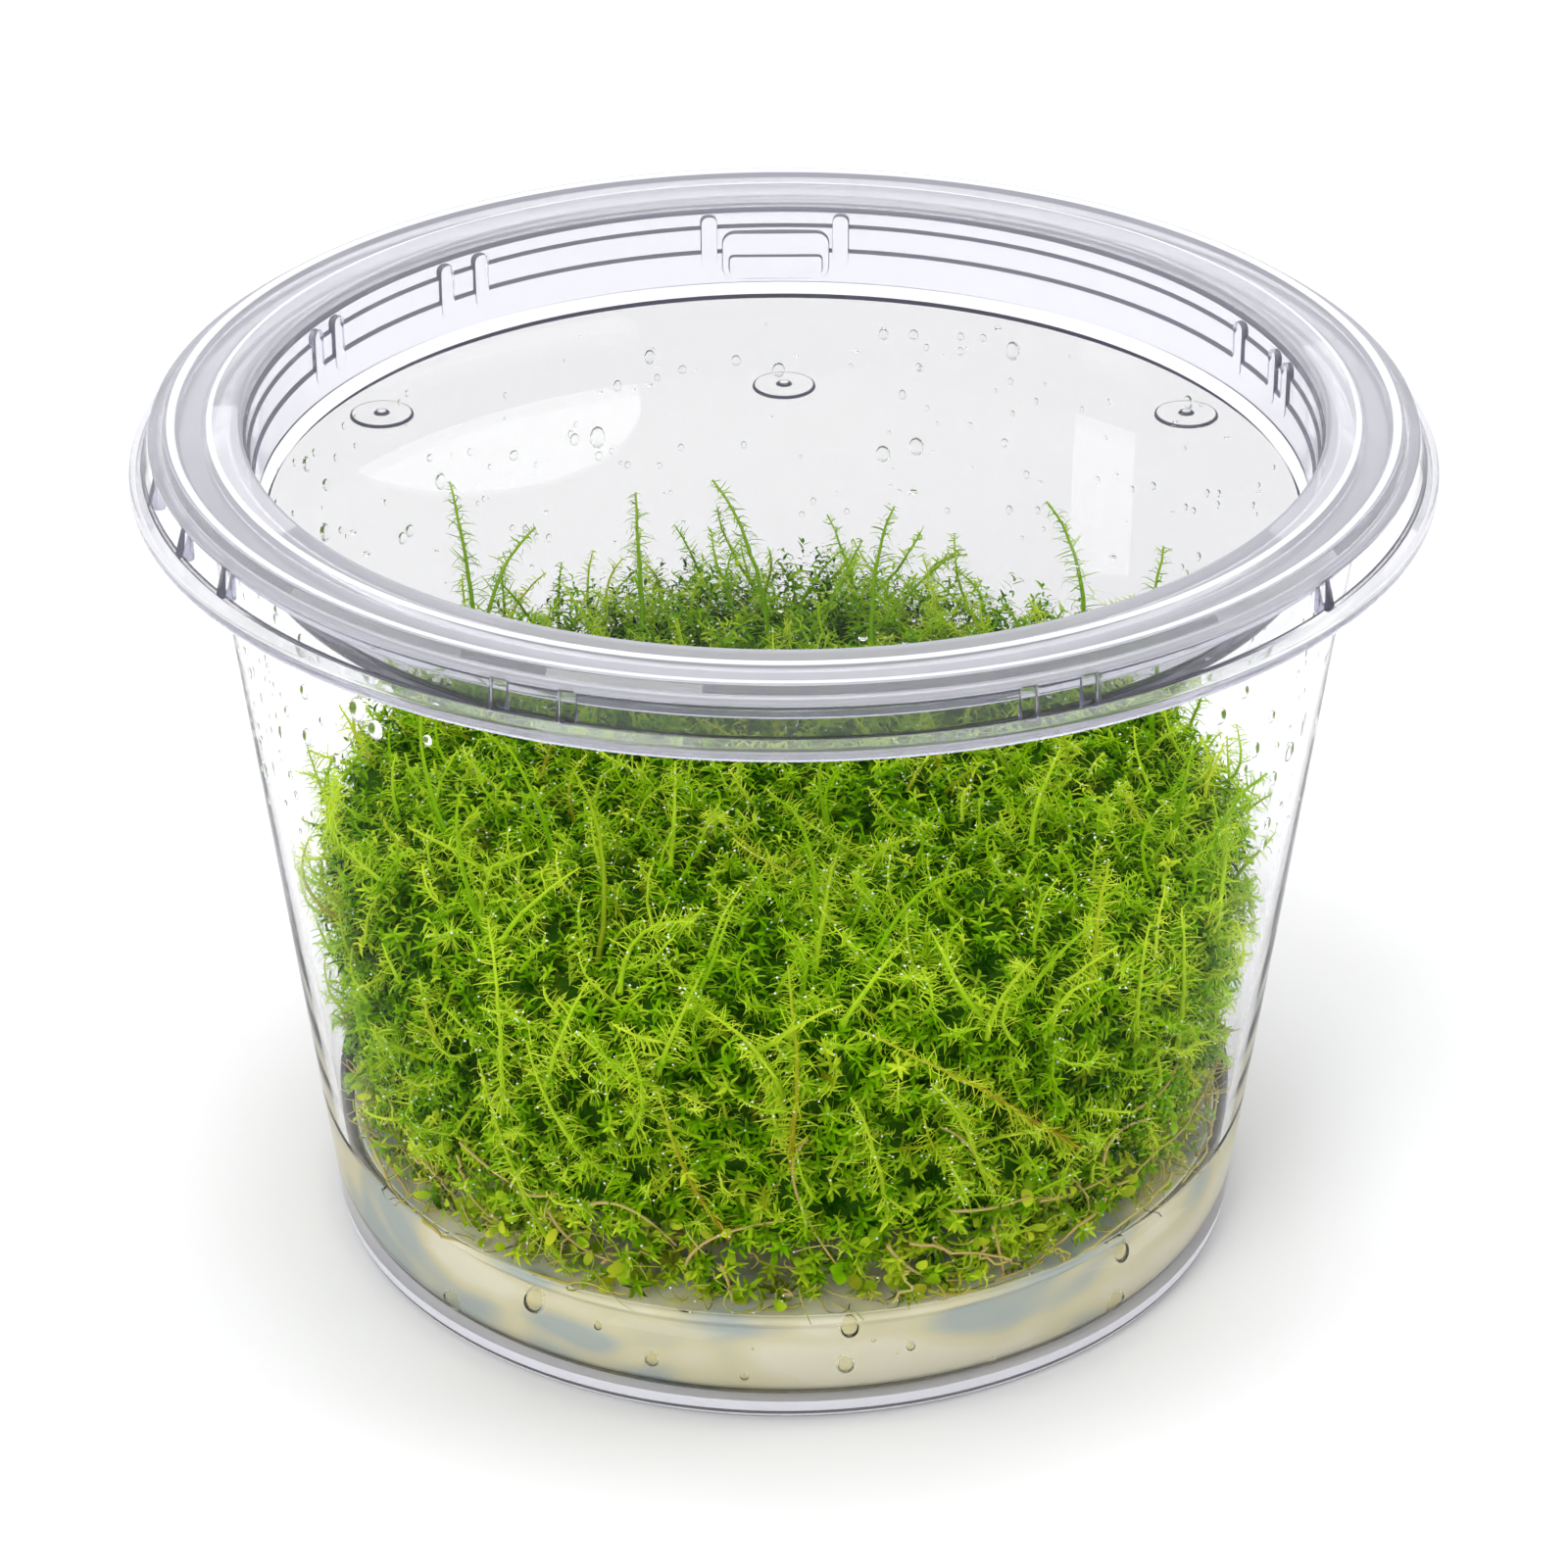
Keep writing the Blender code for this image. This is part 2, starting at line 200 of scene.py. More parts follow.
def turned_piece(name, outline, material, steps=TURN_STEPS):
    """Turn an outline about Z. An outline that starts and ends on the axis stays open there."""
    edges = [(i, i + 1) for i in range(len(outline) - 1)]
    if outline[0].x > 0:
        edges.append((len(outline) - 1, 0))
    mesh = bpy.data.meshes.new(name)
    mesh.from_pydata([(p.x, 0.0, p.y) for p in outline], edges, [])
    piece = new_object(name, mesh)
    screw = piece.modifiers.new("turned", "SCREW")
    screw.steps = steps
    screw.render_steps = steps
    screw.use_merge_vertices = True
    screw.merge_threshold = 0.0000001
    apply_modifiers(piece)
    turned = bmesh.new()
    turned.from_mesh(piece.data)
    bmesh.ops.recalc_face_normals(turned, faces=turned.faces)
    turned.to_mesh(piece.data)
    turned.free()
    piece.data.materials.append(material)
    piece.data.shade_smooth()
    return piece


def clear_moulded_plastic(place, tint, bending, straight, gathered):
    """Clear plastic, most likely polystyrene, moulded as smooth as glass: the eye sees its
    edges, where its faint lilac cast gathers, and hardly its flat wall and panel. The
    photograph shows little reflection or bending in those, so bending, the IOR, lies below
    the 1.59 of polystyrene. straight is the share of light that goes through unbent, which
    keeps the thin edges pale, and gathered the share of a pale diffuse: painted light that
    stands in for light piped along the plastic to its edges and for the bright lines of beads."""
    material, tree, output = empty_material("clear_moulded_plastic_" + place)
    shell = add_node(tree, "BsdfPrincipled", {
        "Base Color": linear(tint),
        "Roughness": POLISHED,
        "IOR": bending,
        "Transmission Weight": 1.0,
    })
    unbent = add_node(tree, "BsdfTransparent", {"Color": linear(tint)})
    softened = add_node(tree, "MixShader", {
        "Fac": straight, 1: shell.outputs["BSDF"], 2: unbent.outputs["BSDF"],
    })
    # The pale diffuse share is painted light: it stands in for light piped along the plastic to its edges and
    # for the bright lines of beads.
    painted_piped_light = add_node(tree, "BsdfDiffuse", {"Color": linear("#F3F3FB")})
    edged = add_node(tree, "MixShader", {
        "Fac": gathered, 1: softened.outputs["Shader"], 2: painted_piped_light.outputs["BSDF"],
    })
    clear = let_light_through(tree, edged.outputs["Shader"], "#F9F9FC")
    depth = add_node(tree, "VolumeAbsorption", {
        "Color": linear("#EEEEF3"), "Density": PLASTIC_DENSITY,
    })
    tree.links.new(clear.outputs["Shader"], output.inputs["Surface"])
    tree.links.new(depth.outputs["Volume"], output.inputs["Volume"])
    return material


# Thin edges bend what lies behind them, beads and the foot carry painted highlights as
# pale lines, and the wall only draws its own outline
edge_plastic = clear_moulded_plastic("edges", "#F2F2F6", 1.42, 0.2, 0.04)
painted_highlight_plastic = clear_moulded_plastic("painted_highlight_lines", "#F3F3FA", 1.42, 0.0, 0.75)
wall_plastic = clear_moulded_plastic("wall", "#FDFDFE", 1.045, 0.0, 0.0)
# The foot ring shows pale lines of painted light, with darker ones between them
PAINTED_PALE_LINES = ((0.2 * MM, 0.5 * MM), (0.9 * MM, 1.95 * MM))
FOOT_LINES_TOP = PAINTED_PALE_LINES[1][1]
foot_inside = FOOT_RADIUS - FOOT_RING_WIDTH
floor_edge = wall_inside(CORNER_HEIGHT)
FOOT_CORNER_STEPS = 8
foot_corner = []
for step in range(FOOT_CORNER_STEPS + 1):
    turn = math.pi / 2 * step / FOOT_CORNER_STEPS
    foot_corner.append((
        FOOT_RADIUS + (CORNER_RADIUS - FOOT_RADIUS) * math.cos(turn),
        CORNER_HEIGHT * (1 - math.sin(turn)),
        0,
    ))
cup_outline = rounded_outline([
    (wall_inside(RIM_TOP), RIM_TOP, 0.3 * MM),
    (RIM_RADIUS, RIM_TOP, 0.55 * MM),
    (RIM_RADIUS, RIM_UNDER, 0.55 * MM),
    (wall_outside(RIM_UNDER), RIM_UNDER, 0.5 * MM),
    *foot_corner,
    (foot_inside, 0.0, 0.25 * MM),
    (foot_inside - FOOT_RECESS, FOOT_RECESS, 0.4 * MM),
    (0.0, FOOT_RECESS, 0),
    (0.0, FLOOR_TOP, 0),
    (floor_edge - 0.3 * MM, FLOOR_TOP, 1.6 * MM),
])
# The outline has to start on the axis, so it is cut open there
on_axis = next(i for i, p in enumerate(cup_outline) if p.x == 0.0)
cup_outline = cup_outline[on_axis + 1:] + cup_outline[:on_axis + 1]
cup = turned_piece("clear_cup", cup_outline, wall_plastic)
cup.data.materials.append(edge_plastic)
cup.data.materials.append(painted_highlight_plastic)
for face in cup.data.polygons:
    if face.center.xy.length > FOOT_RADIUS and face.center.z < FOOT_LINES_TOP:
        painted_line = any(low < face.center.z < high for low, high in PAINTED_PALE_LINES)
        face.material_index = 2 if painted_line else 1
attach(cup, "root")
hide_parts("cup")

# The lid. The same clear plastic, moulded in one piece: a flared lip, a skirt with small
# catch ribs that hold it under the cup's rim, a ring with two polished beads, and a deep
# stacking recess with ribs, one wide lug and three ejector-pin marks on its flat panel.
LID_RADIUS = 50.0 * MM
LID_TOP = 69.2 * MM
LID_WALL = 0.8 * MM
LIP_BOTTOM = 64.6 * MM
LIP_HEIGHT = 1.0 * MM
SKIRT_FOOT = (49.0 * MM, 66.0 * MM)
SHOULDER = (48.35 * MM, 68.4 * MM)
BEAD = (46.4 * MM, 47.1 * MM)
CHANNEL = (44.3 * MM, 46.0 * MM)
CHANNEL_DEPTH = 0.5 * MM
LAND_EDGE = 43.8 * MM
RECESS_MOUTH = (41.3 * MM, 69.0 * MM)
# The recess narrows downward in small steps: heights, with the radii above and below
RECESS_STEPS = (
    (64.4 * MM, 40.75 * MM, 40.47 * MM),
    (66.5 * MM, 41.0 * MM, 40.75 * MM),
    (67.85 * MM, 41.25 * MM, 41.0 * MM),
)
STEP_HEIGHT = 0.3 * MM
PANEL_RADIUS = 40.3 * MM
PANEL_TOP = 60.8 * MM
# How far the rounded edge of the panel reaches in and up
PANEL_CORNER = (1.0 * MM, 0.8 * MM)
# Where the ring shows lines of painted highlight, and flats beside them with a paler
# painted sheen
BEAD_LINES = ((43.35 * MM, 44.05 * MM), (46.2 * MM, 46.75 * MM))
FLANKS = ((41.2 * MM, 43.35 * MM), (44.05 * MM, 46.2 * MM), (46.75 * MM, 47.15 * MM), (47.5 * MM, 48.4 * MM))
FLANK_DEPTH = 0.2 * MM
LEVEL = 0.999
SHARP_EDGE = math.radians(35)
CLEARANCE = 0.3 * MM
CATCH_RIB = Vector((1.35 * MM, 1.2 * MM, 3.1 * MM))
CATCH_RIB_PLACE = (47.8 * MM, 66.5 * MM)
CATCH_RIB_ANGLES = (0, 17, 36, 193, 204, 213, 245.6, 251.8, 290.7, 296.3, 324)
STACK_RIB = Vector((1.4 * MM, 0.8 * MM, 4.5 * MM))
STACK_RIB_PLACE = (40.75 * MM, 65.35 * MM)
STACK_RIB_ANGLES = (14.3, 18.1, 26.5, 83.3, 98.9, 127.9, 132.9, 151.6, 156.0)
STACK_LUG = Vector((9.0 * MM, 1.1 * MM, 4.2 * MM))
STACK_LUG_PLACE = (40.5 * MM, 64.05 * MM)
LUG_STEP = Vector((7.9 * MM, 1.6 * MM, 1.7 * MM))
LUG_STEP_PLACE = (40.3 * MM, 63.4 * MM)
STACK_LUG_ANGLE = 91.0
MARK_PLACES = ((0.0 * MM, 20.8 * MM), (-32.1 * MM, 15.2 * MM), (32.1 * MM, 15.2 * MM))
MARK_RADIUS = 2.55 * MM
MARK_RISE = 0.22 * MM
GATE_RADIUS = 0.7 * MM
GATE_RISE = MARK_RISE * 1.8


def lid_outline():
    top_side = [(0.0, PANEL_TOP, 0), (PANEL_RADIUS + 0.1 * MM, PANEL_TOP, 0.7 * MM)]
    for height, above, below in RECESS_STEPS:
        top_side.append((below, height - STEP_HEIGHT / 2, 0.08 * MM))
        top_side.append((above, height + STEP_HEIGHT / 2, 0.08 * MM))
    top_side += [
        (RECESS_MOUTH[0], RECESS_MOUTH[1], 0.3 * MM),
        (LAND_EDGE, LID_TOP, 0.4 * MM),
        (CHANNEL[0], LID_TOP - CHANNEL_DEPTH, 0.2 * MM),
        (CHANNEL[1], LID_TOP - CHANNEL_DEPTH, 0.2 * MM),
        (BEAD[0], LID_TOP, 0.3 * MM),
        (BEAD[1], LID_TOP, 0.3 * MM),
        (BEAD[1] + 0.5 * MM, SHOULDER[1] + 0.1 * MM, 0.2 * MM),
        (SHOULDER[0], SHOULDER[1], 0.3 * MM),
        (SKIRT_FOOT[0], SKIRT_FOOT[1], 0.25 * MM),
        (LID_RADIUS, LIP_BOTTOM + LIP_HEIGHT, 0.4 * MM),
        (LID_RADIUS, LIP_BOTTOM, 0.35 * MM),
    ]
    under_side = [
        (LID_RADIUS - LID_WALL, LIP_BOTTOM, 0.2 * MM),
        (SKIRT_FOOT[0] - LID_WALL, SKIRT_FOOT[1] - LID_WALL / 2, 0.3 * MM),
        (SHOULDER[0] - LID_WALL, RIM_TOP + CLEARANCE, 0.4 * MM),
        (RECESS_MOUTH[0] + LID_WALL, RIM_TOP + CLEARANCE, 0.4 * MM),
        (PANEL_RADIUS + 0.1 * MM + LID_WALL, PANEL_TOP - LID_WALL, 1.2 * MM),
        (0.0, PANEL_TOP - LID_WALL, 0),
    ]
    return list(reversed(rounded_outline(top_side + under_side)))


def rounded_block(size, round_share=0.42):
    """An upright moulded rib: a block whose upright corners are rounded most. Its sides show
    as its outline."""
    bm = bmesh.new()
    bmesh.ops.create_cube(bm, size=1.0)
    bmesh.ops.scale(bm, vec=size, verts=bm.verts)
    uprights = [e for e in bm.edges if abs(e.verts[0].co.y - e.verts[1].co.y) > size.y / 2]
    corner = min(size.x, size.z) * round_share
    bmesh.ops.bevel(bm, geom=uprights, offset=corner, segments=5, profile=0.5, affect="EDGES")
    rims = [e for e in bm.edges if abs(e.verts[0].co.y - e.verts[1].co.y) < size.y / 10]
    bmesh.ops.bevel(bm, geom=rims, offset=size.y * 0.22, segments=2, profile=0.5, affect="EDGES")
    bm.normal_update()
    for face in bm.faces:
        if abs(face.normal.y) < 0.9:
            face.material_index = OUTLINE
    return bm


def place_round(bm, angle, radius, height):
    """Move a rib onto a circle about Z, its depth along the radius."""
    turn = math.radians(angle)
    bmesh.ops.rotate(bm, verts=bm.verts, matrix=Matrix.Rotation(turn - math.pi / 2, 3, "Z"))
    bmesh.ops.translate(bm, verts=bm.verts, vec=(radius * math.cos(turn), radius * math.sin(turn), height))


def raised_disc(radius, rise, x, y):
    """A low round mark with a softened edge, half sunk in the panel."""
    bm = bmesh.new()
    bmesh.ops.create_cone(bm, cap_ends=True, segments=64, radius1=radius, radius2=radius, depth=2 * rise)
    rims = [e for e in bm.edges if abs(e.verts[0].co.z - e.verts[1].co.z) < rise / 10]
    bmesh.ops.bevel(bm, geom=rims, offset=rise * 0.9, segments=3, profile=0.5, affect="EDGES")
    bmesh.ops.translate(bm, verts=bm.verts, vec=(x, y, PANEL_TOP))
    return bm


def look_of_lid(face):
    """Which plastic a face of the lid is made with. The sides of ribs have theirs already."""
    out = face.center.xy.length
    height = face.center.z
    if face.material_index == OUTLINE:
        return OUTLINE
    if abs(face.normal.z) > LEVEL and height < PANEL_TOP + 3 * MARK_RISE and out < PANEL_RADIUS:
        return PANEL
    if out > RIM_RADIUS and SKIRT_FOOT[1] < height < RIM_TOP:
        return SKIRT
    if out > PANEL_RADIUS - PANEL_CORNER[0] and height < PANEL_TOP + PANEL_CORNER[1]:
        return SKIRT
    if out < RECESS_MOUTH[0] and any(abs(height - step[0]) < STEP_HEIGHT / 2 for step in RECESS_STEPS):
        return OUTLINE
    if out < RECESS_MOUTH[0] + LID_WALL and height < RIM_TOP:
        return RECESS
    if height > SHOULDER[1] and any(low < out < high for low, high in BEAD_LINES):
        return PAINTED_HIGHLIGHT
    if height > SHOULDER[1] - FLANK_DEPTH and any(low < out < high for low, high in FLANKS):
        return FLANK
    return face.material_index


def join_to(piece, shapes):
    """Fuse a list of bmesh shapes to a piece with one union."""
    joined = bpy.data.meshes.new("shapes")
    gathered = bmesh.new()
    for bm in shapes:
        single = bpy.data.meshes.new("shape")
        bm.to_mesh(single)
        bm.free()
        gathered.from_mesh(single)
        bpy.data.meshes.remove(single)
    gathered.to_mesh(joined)
    gathered.free()
    for material in piece.data.materials:
        joined.materials.append(material)
    cutter = new_object("shapes", joined)
    union = piece.modifiers.new("union", "BOOLEAN")
    union.operation = "UNION"
    union.solver = "EXACT"
    union.object = cutter
    apply_modifiers(piece)
    bpy.data.objects.remove(cutter)
    bpy.data.meshes.remove(joined)


# The panel dims the backdrop a little, the skirt shows the moss, the ring's flats beside the
# beads look milky from a painted sheen, the recess shows pale and lilac, and ribs and steps
# show as fine lines
panel_plastic = clear_moulded_plastic("panel", "#DFDFDF", 1.07, 0.0, 0.0)
skirt_plastic = clear_moulded_plastic("skirt", "#FBFBFD", 1.1, 0.1, 0.0)
flank_plastic = clear_moulded_plastic("flanks", "#F6F6FA", 1.3, 0.2, 0.3)
recess_plastic = clear_moulded_plastic("recess", "#EAEAF0", 1.14, 0.08, 0.03)
outline_plastic = clear_moulded_plastic("rib_outlines", "#C9C9D9", 1.2, 0.35, 0.15)
lid = turned_piece("clear_lid", lid_outline(), edge_plastic)
for plastic in (panel_plastic, skirt_plastic, flank_plastic, painted_highlight_plastic, outline_plastic, recess_plastic):
    lid.data.materials.append(plastic)
PANEL, SKIRT, FLANK, PAINTED_HIGHLIGHT, OUTLINE, RECESS = range(1, 7)
lid_shapes = []
for angle in CATCH_RIB_ANGLES:
    rib = rounded_block(CATCH_RIB)
    place_round(rib, angle, *CATCH_RIB_PLACE)
    lid_shapes.append(rib)
for angle in STACK_RIB_ANGLES:
    rib = rounded_block(STACK_RIB)
    place_round(rib, angle, *STACK_RIB_PLACE)
    lid_shapes.append(rib)
lug = rounded_block(STACK_LUG, round_share=0.25)
place_round(lug, STACK_LUG_ANGLE, *STACK_LUG_PLACE)
lid_shapes.append(lug)
lug_step = rounded_block(LUG_STEP, round_share=0.25)
place_round(lug_step, STACK_LUG_ANGLE, *LUG_STEP_PLACE)
for x, y in MARK_PLACES:
    lid_shapes.append(raised_disc(MARK_RADIUS, MARK_RISE, x, y))
join_to(lid, lid_shapes)
join_to(lid, [raised_disc(GATE_RADIUS, GATE_RISE, x, y) for x, y in MARK_PLACES] + [lug_step])
lid.data.shade_smooth()
lid.data.set_sharp_from_angle(angle=SHARP_EDGE)
even_shading = lid.modifiers.new("even_shading", "WEIGHTED_NORMAL")
even_shading.weight = 100
even_shading.keep_sharp = True
apply_modifiers(lid)
for face in lid.data.polygons:
    face.material_index = look_of_lid(face)
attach(lid, "root")
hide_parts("lid")

# The agar gel. Clear growing medium poured hot into the cup: it set with a small meniscus
# up the wall, holds a few round air bubbles near the front, and is pale straw and cloudy,
# with soft cream and blue-grey patches of painted light and shade.
GEL_TOP = 9.0 * MM
MENISCUS = 0.9 * MM
GEL_OVERLAP = 0.12 * MM
CLOUD_INSET = 0.9 * MM
PATCH_SIZE = 12.0 * MM
# Pixels of the photograph where bubbles show, with their radii
BUBBLES_SEEN = (
    ((470, 1327), 0.95 * MM), ((549, 1327), 0.95 * MM), ((667, 1384), 0.62 * MM),
    ((866, 1354), 0.85 * MM), ((862, 1389), 0.75 * MM), ((1137, 1278), 0.85 * MM),
    ((1130, 1322), 0.95 * MM), ((402, 1290), 0.45 * MM), ((1010, 1395), 0.4 * MM),
    ((760, 1402), 0.35 * MM), ((928, 1372), 0.4 * MM), ((612, 1352), 0.35 * MM),
)
BUBBLE_GAPS = (0.25 * MM, 0.2 * MM)
LOOSE_BUBBLES = 46
LOOSE_BUBBLE_RADII = (0.07, 0.22)
LOOSE_BUBBLE_DEPTHS = (0.6, 5.0)


def clear_and_wet(name, tint, roughness, bending, shine, shadow_tint):
    """Clear jelly or still water: smooth, wet and see-through. shine dims its reflections."""
    material, tree, output = empty_material(name)
    body = add_node(tree, "BsdfPrincipled", {
        "Base Color": linear(tint),
        "Roughness": roughness,
        "IOR": bending,
        "Specular Tint": (shine, shine, shine, 1),
        "Transmission Weight": 1.0,
    })
    clear = let_light_through(tree, body.outputs["BSDF"], shadow_tint)
    tree.links.new(clear.outputs["Shader"], output.inputs["Surface"])
    return material


def cloudy_agar_painted_patches(name):
    """Agar that set cloudy: it scatters the light within it. Its straw is its own colour; its
    soft cream and blue-grey patches are painted light and shade."""
    material, tree, output = empty_material(name)
    place = add_node(tree, "TexCoord")
    stretched = add_node(tree, "Mapping", {"Vector": place.outputs["Object"], "Scale": (1.0, 1.0, 2.2)})
    painted_patch_noise = add_node(tree, "TexNoise", {
        "Vector": stretched.outputs["Vector"], "Scale": 1 / PATCH_SIZE, "Detail": 1.0, "Distortion": 0.4,
    })
    # The cream and blue-grey ends of this ramp are painted light and shade; the straw between is the agar's
    # own colour.
    painted_patches = add_node(tree, "ValToRGB", {"Fac": painted_patch_noise.outputs["Fac"]})
    ramp = painted_patches.color_ramp
    ramp.elements[0].position = 0.38
    ramp.elements[0].color = linear("#C9D5DA")
    ramp.elements[1].position = 0.62
    ramp.elements[1].color = linear("#FFFDEE")
    ramp.elements.new(0.5).color = linear("#F3EFD2")
    front = add_node(tree, "BsdfDiffuse", {"Color": painted_patches.outputs["Color"]})
    through = add_node(tree, "BsdfTranslucent", {"Color": painted_patches.outputs["Color"]})
    scattered = add_node(tree, "MixShader", {
        "Fac": 0.25, 1: front.outputs["BSDF"], 2: through.outputs["BSDF"],
    })
    tree.links.new(scattered.outputs["Shader"], output.inputs["Surface"])
    return material


def seen_on_wall(pixel, depth):
    """Where a pixel of the photograph meets the cone that lies depth inside the wall's inner
    face, on its near side."""
    start = viewer.location
    way = photo_ray(pixel)
    level = wall_inside(start.z) - depth
    slope = WALL_SLOPE * way.z
    a = way.x ** 2 + way.y ** 2 - slope ** 2
    b = 2 * (start.x * way.x + start.y * way.y - level * slope)
    c = start.x ** 2 + start.y ** 2 - level ** 2
    reach = (-b - math.sqrt(b * b - 4 * a * c)) / (2 * a)
    return start + way * reach


def add_ball(bm, center, radius, fineness=2, inward=False):
    """A ball of triangles; a bubble's faces look inward, as air in gel does."""
    made = bmesh.ops.create_icosphere(bm, subdivisions=fineness, radius=radius)
    bmesh.ops.translate(bm, verts=made["verts"], vec=center)
    if inward:
        faces = {face for vert in made["verts"] for face in vert.link_faces}
        bmesh.ops.reverse_faces(bm, faces=list(faces))


rng = np.random.default_rng(11)
gel_edge = wall_inside(GEL_TOP + MENISCUS) + GEL_OVERLAP
gel_outline = rounded_outline([
    (0.0, GEL_TOP, 0),
    (wall_inside(GEL_TOP) - 1.3 * MM, GEL_TOP, 2.4 * MM),
    (gel_edge, GEL_TOP + MENISCUS, 0),
    (floor_edge + GEL_OVERLAP, CORNER_HEIGHT, 0.6 * MM),
    (floor_edge - 0.8 * MM, FLOOR_TOP - GEL_OVERLAP, 1.0 * MM),
    (0.0, FLOOR_TOP - GEL_OVERLAP, 0),
])
# Near the wall the gel is as clear as stiff jelly, and faintly straw
clear_agar = clear_and_wet("clear_agar", "#F8F4DC", 0.02, 1.34, 0.3, "#FDFCF4")
gel = turned_piece("agar_slab", gel_outline, clear_agar, steps=192)
with_bubbles = bmesh.new()
with_bubbles.from_mesh(gel.data)
for pixel, radius in BUBBLES_SEEN:
    place = seen_on_wall(pixel, radius + BUBBLE_GAPS[0])
    place.z = max(place.z, FLOOR_TOP + radius + BUBBLE_GAPS[1])
    add_ball(with_bubbles, place, radius, fineness=3, inward=True)
for _ in range(LOOSE_BUBBLES):
    turn = rng.uniform(0, 2 * math.pi)
    radius = rng.uniform(*LOOSE_BUBBLE_RADII) * MM
    out = wall_inside(CORNER_HEIGHT) - rng.uniform(*LOOSE_BUBBLE_DEPTHS) * MM
    height = rng.uniform(FLOOR_TOP + 0.8 * MM, GEL_TOP - 1.0 * MM)
    add_ball(with_bubbles, (out * math.cos(turn), out * math.sin(turn), height), radius, inward=True)
with_bubbles.to_mesh(gel.data)
with_bubbles.free()
gel.data.shade_smooth()
cloud_outline = rounded_outline([
    (0.0, GEL_TOP - 0.6 * CLOUD_INSET, 0),
    (wall_inside(GEL_TOP) - 0.8 * CLOUD_INSET, GEL_TOP - 0.6 * CLOUD_INSET, 0.3 * MM),
    (wall_inside(GEL_TOP) - 2 * CLOUD_INSET, GEL_TOP - 2 * CLOUD_INSET, 0.4 * MM),
    (floor_edge - 1.6 * CLOUD_INSET, FLOOR_TOP + 0.4 * CLOUD_INSET, 0.8 * MM),
    (0.0, FLOOR_TOP + 0.4 * CLOUD_INSET, 0),
])
cloudy_middle = turned_piece("agar_cloudy_middle", cloud_outline, cloudy_agar_painted_patches("cloudy_agar_painted_patches"), steps=96)
for piece in (gel, cloudy_middle):
    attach(piece, "root")
    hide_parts("agar_gel")

# The moss clump. Thousands of short shoots of creeping moss, grown together: each is a
# thin stem with small pointed leaves set round it in a spiral, wet, glossy and thin enough
# to let light through. Leaves deep in the clump get painted shade, and under them a dark
# sheet of older shoots closes the gaps with painted shade.
CLUMP_FOOT = 9.3 * MM
CLUMP_TOP = 38.2 * MM
CLUMP_FOOT_RADIUS = 35.0 * MM
CLUMP_TOP_RADIUS = 38.0 * MM
CLUMP_EDGE_POWER = 9.0
LUMP_SIZE = 9.0 * MM
LUMP_HEIGHT = 1.3 * MM
CLUMP_POINTS = 70000
SHOOT_SPACING = 1.25 * MM
SHOOT_LENGTH = (2.4 * MM, 4.2 * MM)
LEAVES_PER_SHOOT = 18
LEAF_LENGTH = 1.35 * MM
LEAF_WIDTH_SHARE = 0.23
GOLDEN_ANGLE = math.pi * (3 - math.sqrt(5))
BACK_RISE = 4.5 * MM
BACK_ZONE = (6 * MM, 20 * MM)
FOOT_SHOOTS = 420
FOOT_SHOOT_DEPTH = 2.2
WALL_CLEARANCE = 0.12 * MM
CORE_DEPTH = 1.9 * MM
UP = np.array([0.0, 0.0, 1.0])
# How strongly a short shoot leans outward, upward and at random
SHOOT_LEAN = (0.8, 0.4, 0.45)
TIP_SCATTER = 0.9
# Mean and spread of a shoot's tone and of its straw, and what the foot's lowest shoots add:
# painted light on their tone against the shade there, and straw
SHOOT_TONE = (0.52, 0.21)
FOOT_PAINTED_LIGHT = 0.2
SHOOT_STRAW = (-0.12, 0.16)
FOOT_STRAW = 0.35
LOW_BAND = 9 * MM
# Degrees at which leaves stand off the stem at its foot, and how many fewer at its tip
LEAF_SPREAD = (84, 34)
LEAF_CURL = (1.25, 0.6)
# How much darker the leaves low on a shoot are: painted shade, deep in the clump
BASE_SHADE = 0.52


def unit(vectors):
    return vectors / np.maximum(np.linalg.norm(vectors, axis=-1, keepdims=True), 1e-9)


def crosswise(axes):
    """Two unit directions across each axis."""
    helper = np.where(np.abs(axes[:, 2:]) < 0.9, UP, np.array([1.0, 0.0, 0.0]))
    first = unit(np.cross(axes, helper))
    return first, np.cross(axes, first)


def keep_in_cup(points):
    """Press points that would pierce the cup's wall flat against it, and lift those that
    would sink in the gel."""
    points[:, 2] = np.maximum(points[:, 2], GEL_TOP - WALL_CLEARANCE)
    radius = np.hypot(points[:, 0], points[:, 1])
    limit = wall_inside(points[:, 2]) - WALL_CLEARANCE
    scale = np.minimum(1.0, limit / np.maximum(radius, 1e-9))
    points[:, :2] *= scale[:, None]
    return points


